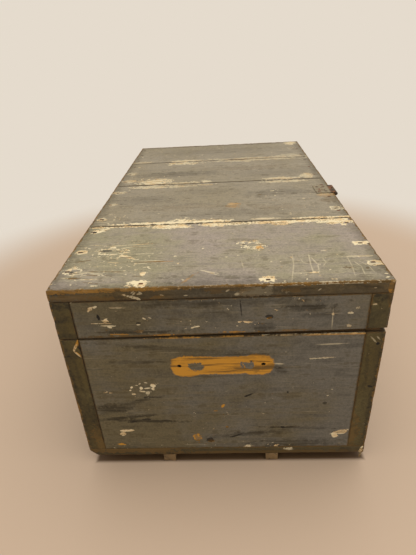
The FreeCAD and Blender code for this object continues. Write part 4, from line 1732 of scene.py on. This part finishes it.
@dataclass
class Box:
    """The four walls of the box, with the bare patch that a lost handle left on the near end."""

    HANDLE_GHOST = marks(
        ochre=[
            (-49, 211.5, 26, 19.4, 0, 0.14, 1, 0.25), (51, 212.5, 26.5, 19.4, 0, 0.14, 1, 0.25),
            (0, 212, 52, 16.6, 0, 0.12, 1, 1),
        ],
        brown=[
            (-4, 204, 24, 1.6, 0, 1, 0.5), (52, 218, 20, 1.6, 0.02, 0.9, 0.8),
            (22, 210, 5, 4, 0.5, 1.2, 0.5), (-12, 210, 14, 2.2, 0, 1.2, 0.45),
            (-60, 222, 14, 1.2, -0.1, 0.9, 0.4), (8, 221, 20, 1, 0.04, 0.9, 0.35),
        ],
        dark=[
            (-61.5, 212.8, 3.3, 2.7, 0, 0.4), (61.5, 212.8, 3.3, 2.7, 0, 0.4),
            (58, 218.4, 16, 1.1, -0.06, 0.9, 0.6),
        ],
        # The first stain, along the bare patch's upper edge, is painted shadow under the edge of the paint.
        stain=[(10, 232, 70, 1.8, 0, 0.8, 0.5), (-20, 192, 60, 2, 0, 0.8, 0.4)],
        paint=[(-38, 210.8, 11.2, 7.6, 0, 0.6, 1, 0.7), (37, 211, 9, 6.4, -0.15, 0.9, 1, 0.4)],
    )
    NEAR_WALL = marks(
        cream=[
            (148, 265, 90, 0.9, 0, 0.8, 0.7, 0.8), (-105, 175, 3, 3.2, 0.6, 0.9),
            (-124, 170, 2.4, 2.8, 0, 0.9), (-130, 176, 3.6, 1.2, -0.2, 0.9, 0.8),
            (-138, 172, 2.8, 1.6, 0.6, 0.9), (-141, 166, 2.2, 1.5, 0.2, 0.9),
            (-136, 158, 3, 1.4, 0, 0.9, 0.9), (-122, 163, 4.6, 1.2, -0.05, 0.9, 0.8),
            (-113, 170, 4.4, 1.2, 0.1, 0.9, 0.9), (-114, 160, 2.6, 3.6, -0.4, 0.9, 0.6),
            (-106, 168, 2.2, 2.6, 0.3, 0.9, 0.9), (-116, 181, 3.8, 1.1, -0.3, 0.9, 0.8),
            (-125, 179, 2.2, 0.9, 0.5, 0.9, 0.8), (-160, 77, 12.5, 2.6, 0.05, 0.5),
            (-167, 70, 4.8, 5, -0.4, 0.7, 0.85), (179, 59, 5.5, 5, 0.8, 0.7),
            (186, 66, 12, 4.6, 0.35, 0.7, 1, 0, 0.35), (146, 222, 17, 1.3, 0.06, 1, 0.6),
        ],
        ochre=[
            (172, 264, 62, 1.2, 0, 0.9, 0.5, 0.8), (20, 264.5, 40, 1, 0, 1.3, 0.7),
            (-60, 264.5, 30, 0.9, 0, 1.3, 0.6), (-171, 44, 6, 2.4, 0, 1, 0.9), (0, 130, 2.2, 4, -0.5, 0.8),
            (-12, 119, 3, 1.4, 0, 0.9, 0.8), (5, 82, 2.6, 2, 0, 0.7), (-44, 57, 7, 9, 0.2, 0.8, 1, 0, 0.7),
            (-23, 50, 4.6, 3, 0, 0.9, 0.8),
        ],
        dark=[
            (-110, 151, 14, 1.4, 0, 0.9, 0.7), (-124, 103, 8, 1.6, 0, 0.9, 0.8),
            (-148, 97, 8, 1.6, 0.2, 0.9, 0.7), (-24, 53, 6, 5, 0, 0.7, 0.8),
            (41, 152, 8, 1.8, 0.45, 0.6, 0.9), (99, 156, 1.6, 2.2, 0, 0.4, 0.8),
            (156, 132, 3, 3, 0, 0.8, 0.6), (18, 61, 9, 2.2, 0.35, 0.9, 0.8),
            (94, 80, 4.4, 2.2, 0, 0.7, 0.8),
        ],
        stain=[
            (-172, 128, 26, 10, 0.15, 1, 0.9), (-140, 140, 30, 4, 0.3, 1, 0.7), (-150, 108, 50, 3, 0.12, 1),
            (-130, 99, 56, 3, -0.05, 1), (128, 78, 50, 2.4, -0.05, 1, 0.9), (40, 66, 60, 5, 0.1, 1, 0.6),
            (110, 42, 60, 9, 0, 1, 0.7), (-60, 244, 100, 4, -0.12, 1, 0.5), (10, 240, 70, 4, 0.05, 1, 0.25),
            (-120, 222, 40, 3, 0, 1, 0.6), (88, 200, 12, 5, -0.6, 0.9, 0.8),
        ],
        scratch=[(157, 247, 18, 1.1, 0.03, 0.4, 0.7), (84, 213, 7, 1.2, -0.1, 0.5, 0.9)],
        worn=[
            (-122, 168, 25, 16), (-120, 140, 60, 20, 0, 0.6, 0.3), (0, 34, 200, 18, 0, 0.6, 0.45),
            (-10, 110, 40, 40, 0, 0.6, 0.2), (80, 150, 60, 40, 0, 0.6, 0.12),
        ],
    )
    SPLINTER = marks(
        cream=[(-209.2, 251.5, 7, 2, 1.08, 0.35, 0.9), (-208.8, 240.5, 8, 1.4, 2.17, 0.4, 0.8)],
        ochre=[(-205.2, 258, 8.5, 2.3, 1.08, 0.4, 0.7), (-205.6, 238, 7, 1.3, 2.17, 0.5, 0.6)],
        # The dark marks are painted shade: one between the splinter's two legs, one along the right side of
        # its upper leg.
        dark=[(-203.8, 250.5, 1.1, 3.2, 0.2, 0.6, 0.9), (-203.4, 257, 6, 0.7, 1.08, 0.4, 0.5)],
    )
    SIDE_WALL_ENDS = marks(
        cream=[(226, 22, 4, 12, -0.25, 0.8, 0.8)],
        brown=[(206, 60, 10, 46, 0, 1.1, 0.6), (-206, 56, 12, 30, 0, 1.2, 0.6)],
        dark=[
            (221, 246, 3, 2.6, 0, 0.4), (221, 165, 4.2, 2.2, -0.4, 0.6, 0.9),
            (-222, 236, 3, 1.4, 0, 0.6, 0.6),
        ],
        stain=[
            (196, 120, 5, 90, 0, 0.8, 0.6), (227, 130, 4, 110, 0, 0.9, 0.75),
            (211, 200, 2.5, 50, 0.04, 1, 0.5), (200, 215, 3, 34, 0, 1, 0.5), (-196, 150, 6, 90, 0, 1, 0.7),
            (-218, 236, 14, 6, 0, 1, 0.6), (-205, 110, 16, 40, 0, 1, 0.7), (-228, 150, 6, 110, 0, 1, 0.75),
            (-214, 186, 3, 50, 0.05, 1, 0.5), (-212, 60, 9, 3, 0.2, 1, 0.6),
        ],
        scratch=[(214, 253, 1.2, 8, 0.7, 0.7, 0.6), (220, 256, 1, 4, 0.7, 0.7, 0.6)],
    )
    trunk: Trunk
    hole_radius: float = 2.2 * MM
    hole_half_spacing: float = 61.5 * MM
    hole_height: float = 212.8 * MM
    drill_reach: float = 10 * MM

    def build(self) -> None:
        """Makes and dresses the walls."""
        ends = (
            ("base_near_board", Side.NEAR, self.HANDLE_GHOST + self.NEAR_WALL),
            ("base_far_board", Side.FAR, self.HANDLE_GHOST + self.strewn(71, (-190, 190), (20, 255))),
        )
        for node, side, drawn in ends:
            by_side = {side: drawn + self.SPLINTER}
            board = self.trunk.painted(
                node, "base", END_PAINT, side, Axis.X, by_side, wear=0.5, flecked=0.006
            )
            self.bore_handle_holes(node, board)
        for node, side, seed in (("base_front_board", Side.FRONT, 81), ("base_back_board", Side.BACK, 85)):
            far = scattered(seed + 9, 4, Kind.STAIN, (-225, 225), (40, 250), (6, 12), (10, 30), 0.1, 0.6)
            near = self.SIDE_WALL_ENDS + self.SPLINTER
            by_side = {side: self.strewn(seed, (-400, 400), (20, 258)), Side.NEAR: near, Side.FAR: far}
            self.trunk.painted(node, "base", SIDE_PAINT, side, Axis.Y, by_side, wear=0.9, flecked=0.015)

    def bore_handle_holes(self, node: str, board: Piece) -> None:
        """Bores the two bolt holes of the lost handle.

        Args:
            node: The wall's node.
            board: The wall.
        """
        low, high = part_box(node)
        middle = (low + high) / 2
        centres = [
            Vector((self.trunk.middle.x + way * self.hole_half_spacing, middle.y, self.hole_height))
            for way in (-1, 1)
        ]
        depth = (high.y - low.y) + self.drill_reach
        self.trunk.boards.bored(board, centres, Vector((0, 1, 0)), self.hole_radius, depth)

    @staticmethod
    def strewn(seed: int, across: Span, up: Span) -> Marks:
        """Returns worn places, chips, smears and dents for a wall that is like the near one."""
        return (
            worn_zones(seed, 6, across, up, (25, 90), (12, 40))
            + scattered(seed + 1, 12, Kind.CREAM, across, up, (2, 13), (1.5, 5))
            + scattered(seed + 2, 12, Kind.STAIN, across, up, (20, 80), (2.5, 9), 0.2, 0.8)
            + scattered(seed + 3, 4, Kind.OCHRE, across, up, (2, 9), (1.5, 4), 0.4, 0.8)
            + scattered(seed + 4, 6, Kind.DARK, across, up, (1.5, 7), (1, 2.6), 0.6, 0.7)
        )


@dataclass
class Underside:
    """The floor boards, which show as a painted edge under the walls, and the two bare battens."""

    BOTTOM = ("bottom_plank_1", "bottom_plank_2", "bottom_plank_3", "bottom_plank_4")
    RUNNERS = ("runner_back", "runner_front")
    NEAR_EDGE = marks(
        cream=[
            (108, 28, 7, 4, -0.3, 1.2, 0.6), (225, 22, 3.4, 9, -0.2, 0.7, 0.9),
            (226, 8, 6, 14, 0, 0.9, 0.55),
        ],
        brown=[(-150, 28, 70, 5, 0, 1.1, 0.7, 0.6), (60, 22, 150, 3, 0, 1.2, 0.6, 0.8)],
        stain=[(-20, 20, 160, 5, 0, 1, 0.8), (196, 23, 14, 6, 0, 1, 0.9)],
    )
    trunk: Trunk
    worn_corner: float = 13 * MM
    splinter_length: float = 14 * MM
    splinter_radii: Span = (1.3 * MM, 4.0 * MM)
    splinter_place: Span = (4.2 * MM, 2.2 * MM)
    splinter_turn: tuple[float, float, float] = (0.0, math.radians(7), 0.4)
    splinter_flat: float = 0.5
    splinter_sides: int = 7

    def build(self) -> None:
        """Makes and dresses the boards and battens."""
        for node in self.BOTTOM:
            self.bottom(node)
        for node in self.RUNNERS:
            low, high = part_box(node)
            board = self.trunk.boards.sawn(node + "_worn", low, high)
            self.trunk.boards.worn(board, low, high)
            dress(board, BareTimber(node + "_wood", Axis.Y, low).material(self.trunk.shared))
            self.trunk.finished(board, "base", "weathered_wood", node)

    def bottom(self, node: str) -> None:
        """Makes one floor board, whose edges alone were painted over with the walls.

        Args:
            node: The board's node.
        """
        low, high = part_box(node)
        board = self.trunk.boards.sawn(node + "_worn", low, high)
        by_side = {}
        if node == self.BOTTOM[0]:
            away = Vector((-1.0, 0.0, -1.0)).normalized()
            place = Vector((low.x + self.worn_corner, low.y, low.z))
            self.trunk.boards.trimmed(board, place, away)
            self.hang_splinter(board, high)
            by_side = {Side.NEAR: self.NEAR_EDGE}
        box_low, box_high = self.trunk.box_of("base")
        self.trunk.boards.worn(board, Vector((box_low.x, box_low.y, low.z)), box_high)
        sizes = (low, high, box_low, box_high, self.trunk.middle)
        finish = PaintedTimber(
            node + "_paint", END_PAINT, Side.TOP, Axis.X, *sizes, by_side, wear=0.8, flecked=0.03
        )
        dress(board, finish.material(self.trunk.shared))
        self.trunk.finished(board, "base", "grey_painted_wood", node)

    def hang_splinter(self, board: Piece, corner: Vector) -> None:
        """Hangs the torn end of a wall's corner under the first floor board.

        Args:
            board: The floor board.
            corner: The board's highest corner.
        """
        foot, top = self.splinter_radii
        aside, inwards = self.splinter_place
        middle = corners(board)[0].z - self.splinter_length / 2
        pick()
        bpy.ops.mesh.primitive_cone_add(
            vertices=self.splinter_sides,
            radius1=foot,
            radius2=top,
            depth=self.splinter_length,
            location=(corner.x - aside, self.trunk.base_low.y + inwards, middle),
            rotation=self.splinter_turn,
        )
        splinter = bpy.context.active_object
        splinter.scale.y = self.splinter_flat
        settle(splinter)
        pick(board, splinter)
        bpy.ops.object.join()


@dataclass(frozen=True)
class Screw:
    """A slotted screw with a low round head, made along Z with the top of its head at zero."""

    head_radius: float = 3.4 * MM
    head_height: float = 1.6 * MM
    shank_radius: float = 1.8 * MM
    dome: float = 0.9 * MM
    dome_steps: int = 4
    slot_width: float = 0.9 * MM
    slot_depth: float = 0.7 * MM
    sides: int = 28
    crease: float = math.radians(35)

    def build(self, name: str, length: float) -> Piece:
        """Makes one screw.

        Args:
            name: Its name.
            length: Its length over all.

        Returns:
            The screw.
        """
        head = self.turned(self.head_radius, 0.0, -self.head_height)
        head.name = name
        with editing(head):
            choose(head, "edges", lambda edge: all(end.co.z > -self.dome / 2 for end in edge.verts))
            bpy.ops.mesh.bevel(offset=self.dome, segments=self.dome_steps, profile=0.5, affect="EDGES")
        slot = (3 * self.head_radius, self.slot_width, 2 * self.slot_depth)
        cut(head, added(bpy.ops.mesh.primitive_cube_add, size=1.0, scale=slot))
        shank = self.turned(self.shank_radius, -self.head_height, -length)
        pick(head, shank)
        bpy.ops.object.join()
        smooth(head, self.crease)
        return head

    def turned(self, radius: float, top: float, foot: float) -> Piece:
        """Makes one round length of the screw between two heights."""
        return added(
            bpy.ops.mesh.primitive_cylinder_add,
            vertices=self.sides,
            radius=radius,
            depth=top - foot,
            location=(0.0, 0.0, (top + foot) / 2),
        )


@dataclass
class Ironwork:
    """The hinges, the hasp, their pins and screws, and all the nails."""

    PLATES = {
        "hinge_near_lid_leaf": "lid",
        "hinge_far_lid_leaf": "lid",
        "hinge_near_base_leaf": "base",
        "hinge_far_base_leaf": "base",
        "hasp_leaf": "lid",
        "hasp_staple": "base",
        "hasp_strap": "hasp",
    }
    SCREWS = {
        "hasp_screws": Vector((0.0, 0.0, 1.0)),
        "staple_screws": Vector((1.0, 0.0, 0.0)),
        "hinge_lid_screws": Vector((-1.0, 0.0, 0.0)),
        "hinge_base_screws": Vector((-1.0, 0.0, 0.0)),
    }
    trunk: Trunk
    arris: float = 0.5 * MM
    crease: float = math.radians(40)
    corner: float = math.radians(50)
    leaf_film_end: float = 219 * MM
    flat: float = math.radians(1.0)
    slot_seed: int = 17

    def __post_init__(self) -> None:
        """Makes the finishes."""
        self.iron = RustedIron("rusted_iron_finish", film=SIDE_PAINT.second).material()
        self.painted = RustedIron(
            "painted_iron_finish",
            bloom=Tone(146, 92, 50),
            film=TOP_PAINT.second,
            film_end=self.leaf_film_end,
            film_lost=0.4,
        ).material()
        self.nail = RustedIron("nail_finish", Tone(66, 46, 32), Tone(120, 74, 40), rubbed=0.2).material()
        self.screw = RustedIron("screw_finish", Tone(84, 72, 58), Tone(118, 86, 58), rubbed=0.6).material()

    def build(self) -> None:
        """Makes the plates and pins, and dresses the fasteners."""
        for node, body in self.PLATES.items():
            self.forged(node, body)
        bodies = self.trunk.frame["record"]["behaviour"]["bodies"]
        owners = {node: body for body, members in bodies.items() for node in members}
        for node in ("hinge_pins", "hasp_pin"):
            self.forged(node, owners[node])
        for node, way in self.SCREWS.items():
            self.driven(node, owners[node], way)
        for node, piece in self.trunk.frame["nodes"].items():
            if node.endswith("_nails"):
                dress(piece, self.nail)

    def driven(self, node: str, body: str, way: Vector) -> None:
        """Makes slotted screws in the places of a node's plain ones.

        Args:
            node: The node.
            body: The body that it rides on.
            way: The way that the heads face.
        """
        draw = random.Random(self.slot_seed)
        places = self.solids(node)
        low, high = places[0]
        name = node + "_slotted"
        master = Screw().build(name, abs((high - low).dot(way)))
        facing = way.to_track_quat("Z", "Y").to_matrix().to_4x4()
        made = []
        for low, high in places:
            screw = copied(master, name)
            slot = Matrix.Rotation(draw.uniform(0.0, math.pi), 4, "Z")
            top = (low + high) / 2 + way * abs((high - low).dot(way)) / 2
            screw.matrix_world = Matrix.Translation(top) @ facing @ slot
            made.append(screw)
        bpy.data.objects.remove(master)
        pick(*made)
        bpy.ops.object.join()
        settle(made[0])
        made[0].name = made[0].data.name = name
        dress(made[0], self.screw)
        self.trunk.finished(made[0], body, "fastener_iron", node)

    def solids(self, node: str) -> list[tuple[Vector, Vector]]:
        """Measures each separate solid of a node.

        Args:
            node: The node.

        Returns:
            The lowest and the highest corner of each.
        """
        with editing(copied(self.trunk.frame["nodes"][node], node + "_parts")):
            bpy.ops.mesh.select_all(action="SELECT")
            bpy.ops.mesh.remove_doubles(threshold=SAME_PLACE)
            bpy.ops.mesh.separate(type="LOOSE")
        parts = list(bpy.context.selected_objects)
        found = [corners(part) for part in parts]
        for part in parts:
            bpy.data.objects.remove(part)
        return found

    def forged(self, node: str, body: str) -> None:
        """Copies a node as one welded piece with softened arrises.

        Args:
            node: The node.
            body: The body that it rides on.
        """
        piece = copied(self.trunk.frame["nodes"][node], node + "_iron")
        with editing(piece):
            bpy.ops.mesh.select_all(action="SELECT")
            bpy.ops.mesh.remove_doubles(threshold=SAME_PLACE)
            bpy.ops.mesh.dissolve_limited(angle_limit=self.flat)
        apply_modifier(
            piece,
            "BEVEL",
            width=self.arris,
            segments=2,
            limit_method="ANGLE",
            angle_limit=self.corner,
            use_clamp_overlap=True,
        )
        smooth(piece, self.crease)
        dress(piece, self.painted if node == "hasp_leaf" else self.iron)
        self.trunk.finished(piece, body, "rusted_iron", node)


@dataclass(frozen=True)
class Studio:
    """The pale floor, the soft light and the camera."""

    floor_reach: float = 14.0
    floor_roughness: float = 0.6
    floor_fade: Span = (0.7, 1.1)
    floor_tone: Tone = Tone(194, 171, 149)
    # Painted shadow: the floor's colour under the trunk and a little past it, where its shade falls.
    painted_shadow_tone: Tone = Tone(92, 70, 46)
    painted_shadow_footprint: tuple[float, float, float] = (0.232, 0.414, 0.008)
    wall_tone: Tone = Tone(229, 219, 205)
    sky_tone: Tone = Tone(255, 250, 242)
    sky_strength: float = 0.82
    lamp_tone: Tone = Tone(255, 247, 234)
    lamp_power: float = 26.0
    lamp_size: float = 2.4
    lamp_place: tuple[float, float, float] = (0.3, -0.25, 2.3)

    eye: tuple[float, float, float] = (9.44 * MM, -887.5 * MM, 632.8 * MM)
    yaw: float = math.radians(3.1125)
    pitch: float = math.radians(29.616)
    roll: float = math.radians(-3.353)
    lens: float = 27.6
    sensor: float = 36.0

    def build(self) -> None:
        """Makes the floor, the world, the lamp and the camera."""
        self.floor()
        self.sky()
        self.lamp()
        self.camera()
        bpy.context.scene.view_settings.view_transform = "Standard"

    def floor(self) -> None:
        """Lays a plain floor, with a painted shadow under the trunk, that is lost in the wall's pale colour
        some way off.
        """
        pick()
        bpy.ops.mesh.primitive_plane_add(size=2 * self.floor_reach, location=(0.0, 0.0, 0.0))
        floor = bpy.context.active_object
        floor.name = "floor"
        made, graph, shader, place = new_finish("pale_floor")
        shader.inputs["Roughness"].default_value = self.floor_roughness
        x, y, _ = graph.parts(graph.vector("ABSOLUTE", place))
        # Painted shadow: the floor is darkened inside the trunk's footprint, fading out a few millimetres
        # past it.
        under = graph.most(graph.less(x, self.painted_shadow_footprint[0]), graph.less(y, self.painted_shadow_footprint[1]))
        shade = graph.fade(under, 0.0, -self.painted_shadow_footprint[2])
        graph.put(shader.inputs["Base Color"], graph.mix(shade, self.floor_tone, self.painted_shadow_tone))
        away = graph.vector("LENGTH", place)
        far = graph.times(graph.fade(away, *self.floor_fade), self.seen(graph))
        wall = graph.add("Emission")
        graph.fill(wall, Color=self.wall_tone)
        blend = graph.add("MixShader")
        graph.put(blend.inputs[0], far)
        graph.put(blend.inputs[1], shader.outputs[0])
        graph.put(blend.inputs[2], wall.outputs[0])
        graph.put(made.node_tree.nodes["Material Output"].inputs["Surface"], blend.outputs[0])
        dress(floor, made)

    @staticmethod
    def seen(graph: Graph) -> Socket:
        """Returns a mask of the rays that the background shows to."""
        path = graph.add("LightPath").outputs
        return graph.most(path["Is Camera Ray"], path["Is Glossy Ray"], path["Is Transmission Ray"])

    def sky(self) -> None:
        """Lights the scene evenly, behind a wall's pale colour."""
        world = bpy.data.worlds.new("soft_room")
        bpy.context.scene.world = world
        world.use_nodes = True
        graph = Graph(world.node_tree)
        light = world.node_tree.nodes["Background"]
        graph.fill(light, Color=self.sky_tone, Strength=self.sky_strength)
        shown = graph.add("Background")
        graph.fill(shown, Color=self.wall_tone)
        blend = graph.add("MixShader")
        graph.put(blend.inputs[0], self.seen(graph))
        graph.put(blend.inputs[1], light.outputs[0])
        graph.put(blend.inputs[2], shown.outputs[0])
        graph.put(world.node_tree.nodes["World Output"].inputs["Surface"], blend.outputs[0])

    def lamp(self) -> None:
        """Hangs one broad soft lamp above the trunk."""
        pick()
        bpy.ops.object.light_add(type="AREA", location=self.lamp_place)
        lamp = bpy.context.active_object
        lamp.data.shape = "DISK"
        lamp.data.size = self.lamp_size
        lamp.data.energy = self.lamp_power
        lamp.data.color = self.lamp_tone.linear()[:3]

    def camera(self) -> None:
        """Sets the camera where the photograph's stood."""
        ahead = Vector(
            (
                -math.sin(self.yaw) * math.cos(self.pitch),
                math.cos(self.yaw) * math.cos(self.pitch),
                -math.sin(self.pitch),
            )
        )
        level = Vector((math.cos(self.yaw), math.sin(self.yaw), 0.0))
        rise = level.cross(ahead)
        right = level * math.cos(self.roll) + rise * math.sin(self.roll)
        up = rise * math.cos(self.roll) - level * math.sin(self.roll)
        pick()
        bpy.ops.object.camera_add(location=self.eye)
        camera = bpy.context.active_object
        camera.rotation_euler = Matrix((right, up, -ahead)).transposed().to_euler()
        camera.data.lens = self.lens
        camera.data.sensor_width = self.sensor
        bpy.context.scene.camera = camera


def main() -> None:
    """Builds the trunk's looks round the frame, and the studio that they are seen in."""
    logging.basicConfig(level=logging.INFO, format="%(name)s: %(message)s")
    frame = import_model()
    trunk = Trunk(frame)
    for part in (LidTop(trunk), LidFrame(trunk), Box(trunk), Underside(trunk), Ironwork(trunk)):
        part.build()
    Studio().build()


if __name__ == "__main__":
    main()
